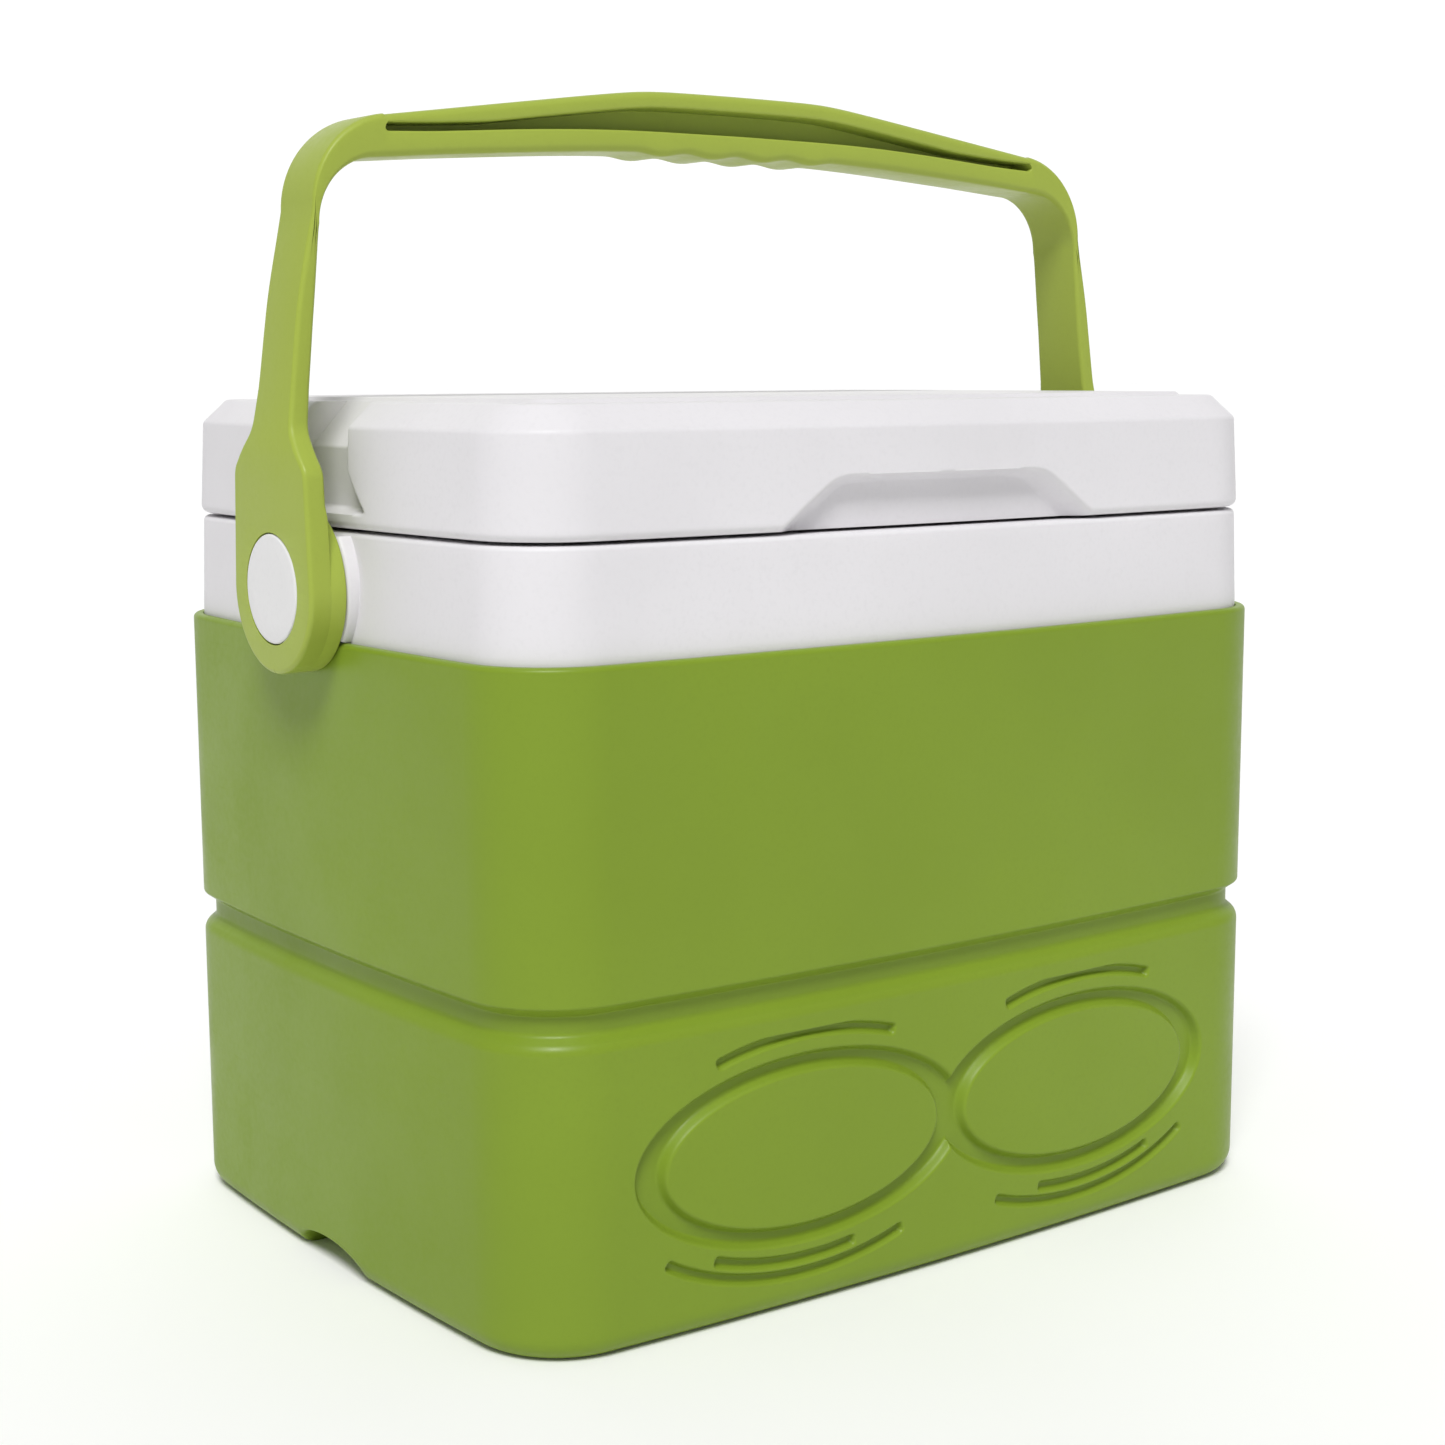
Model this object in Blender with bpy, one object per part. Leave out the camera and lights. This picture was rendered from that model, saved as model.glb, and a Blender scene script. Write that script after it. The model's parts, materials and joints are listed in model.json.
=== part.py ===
"""Cool box of about ten litres: a green outer body, a white collar and lid, and a green bail handle.

The origin is the middle of the footprint, on the floor. +Z is up, the long side lies along X, and
the front, with the finger recess and the two moulded ovals, faces -Y. Every length below is in
millimetres, and MM turns it into metres.
"""

import math

import bmesh
import bpy
from mathutils import Matrix

MM = 0.001
GAP = 0.3  # clearance between two pieces that meet
SHARP_ANGLE = 35.0  # degrees between faces, above which their edge is shaded sharp

# Body plan: a rectangle with bowed sides and round corners
BODY_LENGTH = 320.0
BODY_WIDTH = 243.0
BOW_FRONT = 6.0  # how far the long sides fall back over half the length
BOW_END = 5.5  # how far the ends fall back over half the width
CORNER_RADIUS = 32.0

# Heights
FLOOR_Z = 3.3
BODY_TOP = 204.0
COLLAR_TOP = 237.5
LID_BOTTOM = 238.5
LID_RIM = 276.8
LID_TOP = 278.0
WALL = 3.3
EDGE_RADIUS = 14.0  # round bottom edge of the body

# Groove round the body: its two edges and its floor
GROOVE_LOW, GROOVE_HIGH, GROOVE_DEPTH = 92.0, 107.0, 4.0

# Two moulded ovals on the front, each an island inside a channel, with three slots round it
OVAL_X, OVAL_Z = 57.5, 51.2
CHANNEL_A, CHANNEL_B = 62.5, 30.0
ISLAND_A, ISLAND_B = 51.8, 24.0
CHANNEL_DEPTH = 3.2
SLOT_WIDTH, SLOT_DEPTH = 3.2, 2.2
SLOTS = ((67.2, 36.0, 60.0, 120.0), (70.0, 39.6, 222.4, 302.1), (64.0, 34.8, 237.2, 286.2))

# Arched notch under each end of the body
NOTCH_HALF_WIDTH, NOTCH_HEIGHT, NOTCH_DEPTH = 22.0, 9.0, 17.0

# Tub inside the body
TUB_INSET, TUB_DRAFT, TUB_WALL = 19.3, 4.0, 2.5
TUB_FLOOR = 26.0
TUB_CORNER = 16.0
FLANGE_Z, FLANGE_INSET = 233.2, 11.0  # top and outer edge of the flange that the collar sits on
COLLAR_FOOT, COLLAR_WALL_IN = 190.0, 8.0  # the collar reaches down inside the body

# Handle: the pivot axis, the hub and the bail
PIVOT_Z = 220.0
HUB_RADIUS, PLATE_OUT, PLATE_IN, HUB_IN = 26.3, 172.4, 165.4, 160.6
GRIP_HALF_DEPTH = 11.5
EAR_RADIUS, EAR_IN, EAR_OUT, EAR_TOP = 26.0, 152.5, 160.0, 236.6
CAP_RADIUS, BUSH_RADIUS, STUD_RADIUS = 17.0, 9.5, 7.0
POCKET_END = 135.0
POCKET_WEB, POCKET_RIM, POCKET_TIP = 1.2, 5.3, 1.8  # web half thickness, rim above, height at the ends
DRUM_RADIUS, BORE_STEP = 25.9, 166.0  # drum behind the hub plate, and where the bore widens for the cap

# Lid: front finger recess and end recesses that clear the ears
FINGER_DEPTH, END_RECESS_X = 7.0, 149.5
FINGER_TOP, FINGER_TOP_DROP = 255.3, 2.7  # ceiling of the finger recess at the front, and its fall inwards
FINGER_HALF, FINGER_HALF_LOSS, FINGER_SLOPE = 45.0, 8.0, 1.34  # half width at the top, and side slope
SCOOP_Z = 262.5  # above this the end recess slopes inwards to the top of the lid
BACKING = 2.8  # wall behind each recess
PLUG_INSET = 24.2  # outside of the lid liner, which plugs the tub
HINGE_X, HINGE_Y, HINGE_Z = 80.0, 118.4, 238.0
KNUCKLE_RADIUS, PIN_RADIUS = 3.0, 1.2
LEAF_HALF, LEAF_THICKNESS = 20.0, 2.0
LEAF_NEAR, LEAF_FAR = 4.0, 26.0  # from the pin to the near and the far edge of a leaf
SEAT_HALF, SEAT_DEPTH = 21.0, 3.6  # flat seat behind a hinge, measured in from the pin
SCREW_OFFSET, LID_SCREW_Z, COLLAR_SCREW_Z = 12.0, 256.0, 219.0
HOLE_RADIUS = 1.6

GREEN = (0.21, 0.31, 0.045, 1.0)
LEAF_GREEN = (0.30, 0.40, 0.075, 1.0)
WHITE = (0.76, 0.74, 0.76, 1.0)
CREAM = (0.80, 0.72, 0.50, 1.0)
STEEL = (0.60, 0.60, 0.62, 1.0)
BLACK = (0.03, 0.03, 0.03, 1.0)


# ---------------------------------------------------------------- plan and mesh helpers


def arc_radius(half_length, bow):
    """Radius of the arc that falls back by bow over half_length."""
    return (half_length**2 + bow**2) / (2 * bow)


FRONT_RADIUS = arc_radius(BODY_LENGTH / 2, BOW_FRONT)
END_RADIUS = arc_radius(BODY_WIDTH / 2, BOW_END)
FRONT_CENTRE = FRONT_RADIUS - BODY_WIDTH / 2  # arc centre of the front side, on +Y
END_CENTRE = END_RADIUS - BODY_LENGTH / 2  # arc centre of the left end, on +X


def corner_centre(inset, radius):
    """Centre of the corner arc that touches both bowed sides, in the +X +Y quarter."""
    r_front = FRONT_RADIUS - inset - radius
    r_end = END_RADIUS - inset - radius
    gap = math.hypot(FRONT_CENTRE, END_CENTRE)
    along = (r_front**2 - r_end**2 + gap**2) / (2 * gap)
    across = math.sqrt(r_front**2 - along**2)
    ux, uy = -END_CENTRE / gap, FRONT_CENTRE / gap
    return uy * across + ux * along, -FRONT_CENTRE + uy * along - ux * across


def plan(inset, radius=None, side_steps=3, corner_steps=4):
    """Outline of the body moved in by inset, counter-clockwise from above."""
    radius = max(CORNER_RADIUS - inset, 6.0) if radius is None else radius
    cx, cy = corner_centre(inset, radius)
    end_angle = math.atan2(cy, cx + END_CENTRE)
    front_angle = math.atan2(cx, cy + FRONT_CENTRE)
    quarter = []
    for i in range(side_steps):
        a = end_angle * i / side_steps
        r = END_RADIUS - inset
        quarter.append((r * math.cos(a) - END_CENTRE, r * math.sin(a)))
    for i in range(corner_steps):
        a = end_angle + (math.pi / 2 - front_angle - end_angle) * i / corner_steps
        quarter.append((cx + radius * math.cos(a), cy + radius * math.sin(a)))
    for i in range(side_steps + 1):
        a = front_angle * (1 - i / side_steps)
        r = FRONT_RADIUS - inset
        quarter.append((r * math.sin(a), r * math.cos(a) - FRONT_CENTRE))
    left = [(-x, y) for x, y in reversed(quarter[:-1])]
    back = [(-x, -y) for x, y in quarter[1:]]
    right = [(x, -y) for x, y in reversed(quarter[1:-1])]
    return quarter + left + back + right


def front_y(x, inset=0.0):
    """Y of the bowed front at x, moved in by inset."""
    return FRONT_CENTRE - math.sqrt((FRONT_RADIUS - inset) ** 2 - x**2)


def clear_scene():
    for obj in list(bpy.data.objects):
        bpy.data.objects.remove(obj)


def material(name, colour, roughness, metallic=0.0):
    mat = bpy.data.materials.new(name)
    mat.use_nodes = True
    shader = mat.node_tree.nodes["Principled BSDF"]
    shader.inputs["Base Color"].default_value = colour
    shader.inputs["Roughness"].default_value = roughness
    shader.inputs["Metallic"].default_value = metallic
    mat.diffuse_color = colour
    return mat


def add_object(name, bm, mat=None, parent=None):
    """Turn a bmesh in millimetres into an object, and hang it on a joint's empty if one is given."""
    bmesh.ops.recalc_face_normals(bm, faces=bm.faces)
    bmesh.ops.scale(bm, vec=(MM, MM, MM), verts=bm.verts)
    mesh = bpy.data.meshes.new(name)
    bm.to_mesh(mesh)
    bm.free()
    mesh.shade_smooth()
    mesh.set_sharp_from_angle(angle=math.radians(SHARP_ANGLE))
    obj = bpy.data.objects.new(name, mesh)
    bpy.context.scene.collection.objects.link(obj)
    if mat is not None:
        mesh.materials.append(mat)
    if parent is not None:
        obj.parent = parent
        obj.matrix_parent_inverse = Matrix.Translation(parent.location).inverted()
    return obj


def add_loft(bm, rings, closed=False):
    """Skin rings of equal length. A closed loft joins its last ring to its first, others are capped."""
    loops = [[bm.verts.new(co) for co in ring] for ring in rings]
    pairs = list(zip(loops, loops[1:]))
    if closed:
        pairs.append((loops[-1], loops[0]))
    for low, high in pairs:
        for i in range(len(low)):
            j = (i + 1) % len(low)
            bm.faces.new((low[i], low[j], high[j], high[i]))
    if not closed:
        bm.faces.new(list(reversed(loops[0])))
        bm.faces.new(loops[-1])


def loft(name, rings, mat=None, parent=None, closed=False):
    bm = bmesh.new()
    add_loft(bm, rings, closed)
    return add_object(name, bm, mat, parent)


def walls(profile, corner=None):
    """Rings that follow the plan, one for each (inset, z) of a wall profile."""
    return [[(x, y, z) for x, y in plan(inset, corner)] for inset, z in profile]


def turned_rings(axis, profile, centre, steps):
    """Rings about an axis through centre, one for each (place along the axis, radius)."""
    rings = []
    for along, radius in profile:
        ring = []
        for i in range(steps):
            a = 2 * math.pi * i / steps
            u, v = radius * math.cos(a), radius * math.sin(a)
            if axis == "X":
                ring.append((centre[0] + along, centre[1] + u, centre[2] + v))
            else:
                ring.append((centre[0] + u, centre[1] + along, centre[2] + v))
        rings.append(ring)
    return rings


def add_turned(bm, axis, profile, centre, steps=20):
    add_loft(bm, turned_rings(axis, profile, centre, steps))


def add_box(bm, low, high):
    corners = [(low[0], low[1]), (high[0], low[1]), (high[0], high[1]), (low[0], high[1])]
    add_loft(bm, [[(x, y, z) for x, y in corners] for z in (low[2], high[2])])


def add_prism(bm, outline, low_x, high_x):
    """Outline in (y, z), drawn out along X."""
    add_loft(bm, [[(x, y, z) for y, z in outline] for x in (low_x, high_x)])


def boolean(target, tool, operation):
    """Cut or add a tool, which stays in the file as a hidden guide."""
    tool.hide_render = True
    tool.display_type = "WIRE"
    modifier = target.modifiers.new(tool.name, "BOOLEAN")
    modifier.operation = operation
    modifier.object = tool
    modifier.solver = "EXACT"


def joint_empty(name, location):
    empty = bpy.data.objects.new(name, None)
    empty.location = [v * MM for v in location]
    bpy.context.scene.collection.objects.link(empty)
    return empty


# ---------------------------------------------------------------- outer body


def edge_arc(radius, offset, steps):
    """Round bottom edge as (inset, z), from the floor up, moved inwards by offset."""
    points = []
    for i in range(steps + 1):
        a = math.pi / 2 * i / steps
        reach = radius - offset
        points.append((radius - reach * math.sin(a), radius - reach * math.cos(a)))
    return points


def outer_body(mats):
    outside = edge_arc(EDGE_RADIUS, 0.0, 4)
    outside += [(0.0, GROOVE_LOW), (0.8, 93.9), (3.2, 96.3), (GROOVE_DEPTH, 98.2), (GROOVE_DEPTH, 101.4)]
    outside += [(3.2, 103.4), (0.6, 105.6), (0.0, GROOVE_HIGH), (0.0, 201.4), (0.7, 203.2), (2.4, BODY_TOP)]
    deep = WALL + GROOVE_DEPTH - 0.3
    inside = [(WALL, BODY_TOP), (WALL, GROOVE_HIGH + 3), (deep, GROOVE_HIGH), (deep, GROOVE_LOW)]
    inside += [(WALL, GROOVE_LOW - 3)] + list(reversed(edge_arc(EDGE_RADIUS, WALL, 2)))
    body = loft("outer_body", walls(outside + inside), mats["green"])
    boolean(body, front_backing(), "UNION")
    boolean(body, notch_backing(), "UNION")
    boolean(body, oval_cutter(), "DIFFERENCE")
    boolean(body, notch_cutter(), "DIFFERENCE")
    boolean(body, oval_islands(), "UNION")
    return body


def front_backing():
    """Second layer behind the ovals, so that the channels don't break through the wall."""
    rings = []
    for i in range(15):
        x = -128 + 256 * i / 14
        near, far = front_y(x) + 2.0, front_y(x) + WALL + 3.4
        rings.append([(x, near, 8.5), (x, far, 12.0), (x, far, 91.0), (x, near, 91.0)])
    return loft("front_backing", rings)


def oval_half_height(x, semi_a, semi_b):
    return semi_b * math.sqrt(max(0.0, 1 - ((abs(x) - OVAL_X) / semi_a) ** 2))


def oval_stations(semi_a, start, stop, steps):
    """X stations over one oval, closer together near its ends."""
    angles = [start + (stop - start) * i / steps for i in range(steps + 1)]
    return [OVAL_X + semi_a * math.cos(math.radians(a)) for a in angles]


def oval_cutter():
    bm = bmesh.new()
    middle = math.degrees(math.acos(-OVAL_X / CHANNEL_A))
    right = oval_stations(CHANNEL_A, 6.0, middle, 13)
    rings = []
    for x in right + [-x for x in reversed(right[:-1])]:
        half = oval_half_height(x, CHANNEL_A, CHANNEL_B)
        near, far = front_y(x) - 1.0, front_y(x) + CHANNEL_DEPTH
        low, high = OVAL_Z - half, OVAL_Z + half
        rings.append([(x, near, low), (x, near, high), (x, far, high - 1.6), (x, far, low + 1.6)])
    add_loft(bm, rings)
    for side in (-1, 1):
        for semi_a, semi_b, start, stop in SLOTS:
            add_loft(bm, slot_rings(side, semi_a, semi_b, start, stop))
    return add_object("oval_cutter", bm)


def slot_rings(side, semi_a, semi_b, start, stop):
    """A slot that follows an ellipse round one oval, mirrored on the other."""
    rings = []
    steps = 8
    for i in range(steps + 1):
        a = math.radians(start + (stop - start) * i / steps)
        nx, nz = math.cos(a) / semi_a, math.sin(a) / semi_b
        size = math.hypot(nx, nz)
        ring = []
        for across, depth in ((-0.5, -1.0), (0.5, -1.0), (0.5, SLOT_DEPTH), (-0.5, SLOT_DEPTH)):
            x = semi_a * math.cos(a) + nx / size * SLOT_WIDTH * across
            z = semi_b * math.sin(a) + nz / size * SLOT_WIDTH * across
            x = side * (OVAL_X - x)
            ring.append((x, front_y(x) + depth, OVAL_Z + z))
        rings.append(ring)
    return rings


def oval_islands():
    bm = bmesh.new()
    for side in (-1, 1):
        rings = []
        for x in oval_stations(ISLAND_A, 8.0, 172.0, 13):
            half = oval_half_height(x, ISLAND_A, ISLAND_B)
            near, far = front_y(x), front_y(x) + CHANNEL_DEPTH + 1.5
            low, high = OVAL_Z - half, OVAL_Z + half
            ring = [(near, low + 1.2), (near, high - 1.2), (far, high), (far, low)]
            rings.append([(side * x, y, z) for y, z in ring])
        add_loft(bm, rings)
    return add_object("oval_islands", bm)


def notch_cutter():
    """Arched notch under both ends."""
    bm = bmesh.new()
    steps = 8
    below = -6.0
    outline = [(NOTCH_HALF_WIDTH, below)]
    for i in range(1, steps):
        a = math.pi * i / steps
        outline.append((NOTCH_HALF_WIDTH * math.cos(a), NOTCH_HEIGHT * math.sin(a) ** 0.8))
    outline.append((-NOTCH_HALF_WIDTH, below))
    near, far = BODY_LENGTH / 2 + 8, BODY_LENGTH / 2 - NOTCH_DEPTH
    add_prism(bm, outline, far, near)
    add_prism(bm, outline, -near, -far)
    return add_object("notch_cutter", bm)


def notch_backing():
    """Blocks inside the round bottom edge that the notches are cut into."""
    bm = bmesh.new()
    middle = WALL / 2
    outline = [(BODY_LENGTH / 2 - inset, z) for inset, z in edge_arc(EDGE_RADIUS, middle, 3)]
    top = EDGE_RADIUS + 2
    far = BODY_LENGTH / 2 - NOTCH_DEPTH - 3.2
    outline = [(far, middle)] + outline + [(outline[-1][0], top), (far, top)]
    half = NOTCH_HALF_WIDTH + 3.2
    for side in (-1, 1):
        add_loft(bm, [[(side * x, y, z) for x, z in outline] for y in (-half, half)])
    return add_object("notch_backing", bm)


# ---------------------------------------------------------------- tub, foam and collar


def inner_liner(mats):
    low_inset = TUB_INSET + TUB_DRAFT
    inner = TUB_INSET + TUB_WALL
    bottom = TUB_FLOOR - TUB_WALL
    outside = [(low_inset + 6, bottom), (low_inset + 1.5, bottom + 1.6), (low_inset, bottom + 6)]
    outside += [(TUB_INSET, FLANGE_Z - WALL)]
    flange = [(FLANGE_INSET, FLANGE_Z - WALL), (FLANGE_INSET, FLANGE_Z)]
    inside = [(TUB_INSET, FLANGE_Z), (TUB_INSET, COLLAR_TOP), (inner, COLLAR_TOP)]
    inside += [(inner + TUB_DRAFT, TUB_FLOOR + 6), (inner + TUB_DRAFT + 6, TUB_FLOOR)]
    rings = walls(outside, TUB_CORNER) + walls(flange) + walls(inside, TUB_CORNER)
    return loft("inner_liner", rings, mats["white"])


def body_foam(mats):
    """Rigid foam that fills the space between body and tub."""
    low_inset = TUB_INSET + TUB_DRAFT - GAP
    bottom = TUB_FLOOR - TUB_WALL - GAP
    top = FLANGE_Z - WALL - GAP
    side = COLLAR_WALL_IN + GAP
    outside = [(EDGE_RADIUS + 4, FLOOR_Z + GAP), (side + 0.9, 14.0), (side, 20.0), (side, top)]
    inside = [(TUB_INSET - GAP, top), (low_inset, bottom + 6)]
    inside += [(low_inset + 1.5, bottom + 1.6), (low_inset + 6, bottom)]
    foam = loft("body_foam", walls(outside) + walls(inside, TUB_CORNER), mats["cream"])
    bm = bmesh.new()
    half = NOTCH_HALF_WIDTH + 4
    far = BODY_LENGTH / 2 - NOTCH_DEPTH - 4
    add_box(bm, (far, -half, -5), (BODY_LENGTH, half, EDGE_RADIUS + 2.5))
    add_box(bm, (-BODY_LENGTH, -half, -5), (-far, half, EDGE_RADIUS + 2.5))
    add_screw_holes(bm, -1, 2.0)
    boolean(foam, add_object("foam_cutter", bm), "DIFFERENCE")
    return foam


def collar(mats):
    ledge = FLANGE_Z + GAP
    outside = [(WALL + GAP, COLLAR_FOOT), (WALL + GAP, 206.0), (4.6, 235.2), (5.2, 236.8), (6.6, COLLAR_TOP)]
    inside = [(TUB_INSET - GAP, COLLAR_TOP), (TUB_INSET - GAP, ledge)]
    inside += [(COLLAR_WALL_IN, ledge), (COLLAR_WALL_IN, COLLAR_FOOT)]
    ring = loft("collar", walls(outside + inside), mats["white"], closed=True)
    boolean(ring, ears(), "UNION")
    bm = bmesh.new()
    for side in (-1, 1):
        x = side * HINGE_X
        seat = (x - SEAT_HALF, HINGE_Y - SEAT_DEPTH, 209.0)
        add_box(bm, seat, (x + SEAT_HALF, BODY_WIDTH / 2 + 8, COLLAR_TOP + 5))
        add_turned(bm, "X", [(side * 140.0, 2.5), (side * 175.0, 2.5)], (0, 0, PIVOT_Z), 12)
    boolean(ring, add_object("collar_cutter", bm), "DIFFERENCE")
    holes = bmesh.new()
    add_screw_holes(holes, -1, HOLE_RADIUS)
    boolean(ring, add_object("collar_holes", holes), "DIFFERENCE")
    return ring


def ears():
    """Round ears of the collar behind the handle's hubs, cut off above the body's rim and at the seam."""
    start = math.asin((BODY_TOP + GAP - PIVOT_Z) / EAR_RADIUS)
    stop = math.asin((EAR_TOP - PIVOT_Z) / EAR_RADIUS)
    steps = 10
    right = []
    for i in range(steps + 1):
        a = start + (stop - start) * i / steps
        right.append((EAR_RADIUS * math.cos(a), PIVOT_Z + EAR_RADIUS * math.sin(a)))
    outline = right + [(-y, z) for y, z in reversed(right)]
    bm = bmesh.new()
    add_prism(bm, outline, EAR_IN, EAR_OUT)
    add_prism(bm, outline, -EAR_OUT, -EAR_IN)
    return add_object("ears", bm)


# ---------------------------------------------------------------- handle


def lerp_curve(points, at):
    """Smooth curve through control points (at, value), read at one place."""
    for i in range(len(points) - 1):
        if at <= points[i + 1][0] or i == len(points) - 2:
            t0, v0 = points[i]
            t1, v1 = points[i + 1]
            before = points[max(i - 1, 0)]
            after = points[min(i + 2, len(points) - 1)]
            m0 = (v1 - before[1]) / (t1 - before[0])
            m1 = (after[1] - v0) / (after[0] - t0)
            s = (at - t0) / (t1 - t0)
            h = t1 - t0
            a = (1 + 2 * s) * (1 - s) ** 2 * v0 + s * (1 - s) ** 2 * h * m0
            return a + s * s * (3 - 2 * s) * v1 + s * s * (s - 1) * h * m1
    return points[-1][1]


ARM_OUT = ((262.0, 172.4), (281.0, 169.3), (308.0, 165.6), (335.0, 160.0))
ARM_IN = ((262.0, 165.4), (281.0, 163.1), (308.0, 160.1), (329.5, 158.0))
ARM_HALF = ((257.0, 24.0), (268.7, 13.2), (281.0, 12.0), (300.0, GRIP_HALF_DEPTH))
GRIP_UNDER = ((0.0, 357.0), (47.0, 356.6), (103.0, 353.2), (137.0, 350.5))
POCKET_FLOOR = ((0.0, 363.8), (46.0, 363.4), (79.0, 362.0), (117.0, 359.3), (135.0, 358.4))
CORNER_OUT = (131.0, 335.0, 29.0)  # x, z and radius of the outer corner arc
CORNER_IN = (137.0, 329.5, 21.0)
CORNER_SWEEP = 82.0  # degrees, up to the slope of the top
TOP_Z, TOP_FLAT, TOP_SLOPE = 377.0, 38.0, 0.1405


def top_z(x):
    """Top of the bail: flat in the middle, then falling away evenly, with a soft bend between."""
    past = abs(x) - TOP_FLAT
    return TOP_Z - TOP_SLOPE * 0.5 * (past + math.hypot(past, 10.0)) + 0.07


def under_z(x):
    """Underside of the grip, an arch with four finger bumps."""
    z = lerp_curve(GRIP_UNDER, abs(x))
    if abs(x) < 42.0:
        z -= 0.6 * (1 + math.cos(2 * math.pi * (abs(x) - 10.5) / 21.0))
    return z


def arm_station(z):
    """Outer and inner point and half depth of the arm at one height, on the right."""
    half = HUB_RADIUS
    if z < PIVOT_Z:
        half = math.sqrt(HUB_RADIUS**2 - (PIVOT_Z - z) ** 2)
    elif z < ARM_HALF[0][0]:
        half += (ARM_HALF[0][1] - HUB_RADIUS) * (z - PIVOT_Z) / (ARM_HALF[0][0] - PIVOT_Z)
    elif z < ARM_HALF[1][0]:
        part = (z - ARM_HALF[0][0]) / (ARM_HALF[1][0] - ARM_HALF[0][0])
        half = ARM_HALF[0][1] + (ARM_HALF[1][1] - ARM_HALF[0][1]) * part
    else:
        half = lerp_curve(ARM_HALF[1:], min(z, 300.0))
    out_x = PLATE_OUT if z < ARM_OUT[0][0] else lerp_curve(ARM_OUT, z)
    in_x = PLATE_IN if z < ARM_IN[0][0] else lerp_curve(ARM_IN, min(z, ARM_IN[-1][0]))
    return (out_x, z), (in_x, min(z, ARM_IN[-1][0])), half


def bail_stations():
    """Stations of the right half of the bail, from the bottom of the hub to the middle of the grip."""
    stations = []
    for degrees in (14, 26, 40, 56, 73):
        stations.append(arm_station(PIVOT_Z - HUB_RADIUS * math.cos(math.radians(degrees))))
    for z in (PIVOT_Z, 257.0, 262.0, 268.7, 281.0, 294.0, 308.0, 322.0):
        stations.append(arm_station(z))
    for i in range(8):
        a = math.radians(CORNER_SWEEP * i / 7)
        ox, oz, o_radius = CORNER_OUT
        ix, iz, i_radius = CORNER_IN
        out = (ox + o_radius * math.cos(a), oz + o_radius * math.sin(a))
        inn = (ix + i_radius * math.cos(a), iz + i_radius * math.sin(a))
        stations.append((out, inn, GRIP_HALF_DEPTH))
    for x in (118.0, 98.0, 76.0, 56.0, 42.0, 36.75, 31.5, 26.25, 21.0, 15.75, 10.5, 5.25, 0.0):
        stations.append(((x, top_z(x)), (x, under_z(x)), GRIP_HALF_DEPTH))
    return stations


def bail_ring(station, side):
    """Round-cornered section between the outer and the inner point of a station."""
    (ox, oz), (ix, iz), half = station
    thick = math.hypot(ox - ix, oz - iz)
    radius = min(2.4, 0.4 * thick, 0.4 * half)
    ring = []
    for sign_y, sign_t, start in ((1, 1, 0), (-1, 1, 90), (-1, -1, 180), (1, -1, 270)):
        for i in range(2):
            a = math.radians(start + 90 * i)
            y = sign_y * (half - radius) + radius * math.cos(a)
            t = 0.5 + (sign_t * (0.5 * thick - radius) + radius * math.sin(a)) / thick
            ring.append((side * (ix + (ox - ix) * t), y, iz + (oz - iz) * t))
    return ring


def pocket_rings(side_y):
    """Blind pocket along one face of the bail, under its top rim."""
    rings = []
    for i in range(17):
        x = POCKET_END * math.sin(math.pi / 2 * (i - 8) / 8)
        low = lerp_curve(POCKET_FLOOR, abs(x))
        high = max(top_z(x) - POCKET_RIM, low + POCKET_TIP)
        near, far = side_y * (GRIP_HALF_DEPTH + 2), side_y * POCKET_WEB
        rings.append([(x, near, low), (x, near, high), (x, far, high - 0.3), (x, far, low + 0.3)])
    return rings


def handle_frame(mats, axis):
    right = bail_stations()
    rings = [bail_ring(s, 1) for s in right]
    rings += [bail_ring(s, -1) for s in reversed(right[:-1])]
    handle = loft("handle_frame", rings, mats["leaf_green"], axis)
    hubs = bmesh.new()
    cuts = bmesh.new()
    centre = (0, 0, PIVOT_Z)
    for side in (-1, 1):
        drum = [(side * HUB_IN, DRUM_RADIUS), (side * (PLATE_IN + 3), DRUM_RADIUS)]
        add_turned(hubs, "X", drum, centre, 32)
        bore = [(HUB_IN - 2, BUSH_RADIUS + GAP), (BORE_STEP, BUSH_RADIUS + GAP)]
        bore += [(BORE_STEP, CAP_RADIUS + GAP), (PLATE_OUT + 3, CAP_RADIUS + GAP)]
        add_turned(cuts, "X", [(side * x, r) for x, r in bore], centre, 24)
        add_loft(cuts, pocket_rings(side))
    boolean(handle, add_object("hubs", hubs), "UNION")
    boolean(handle, add_object("handle_cutter", cuts), "DIFFERENCE")
    return handle


def side_name(side):
    return "right" if side > 0 else "left"


def ring_part(name, side, low, high, inner, outer, mat, parent=None, steps=18):
    """Plain ring about the pivot axis, between two places along X."""
    profile = [(low, inner), (high, inner), (high, outer), (low, outer)]
    rings = turned_rings("X", [(side * x, r) for x, r in profile], (0, 0, PIVOT_Z), steps)
    return loft(name, rings, mat, parent, closed=True)


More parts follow.
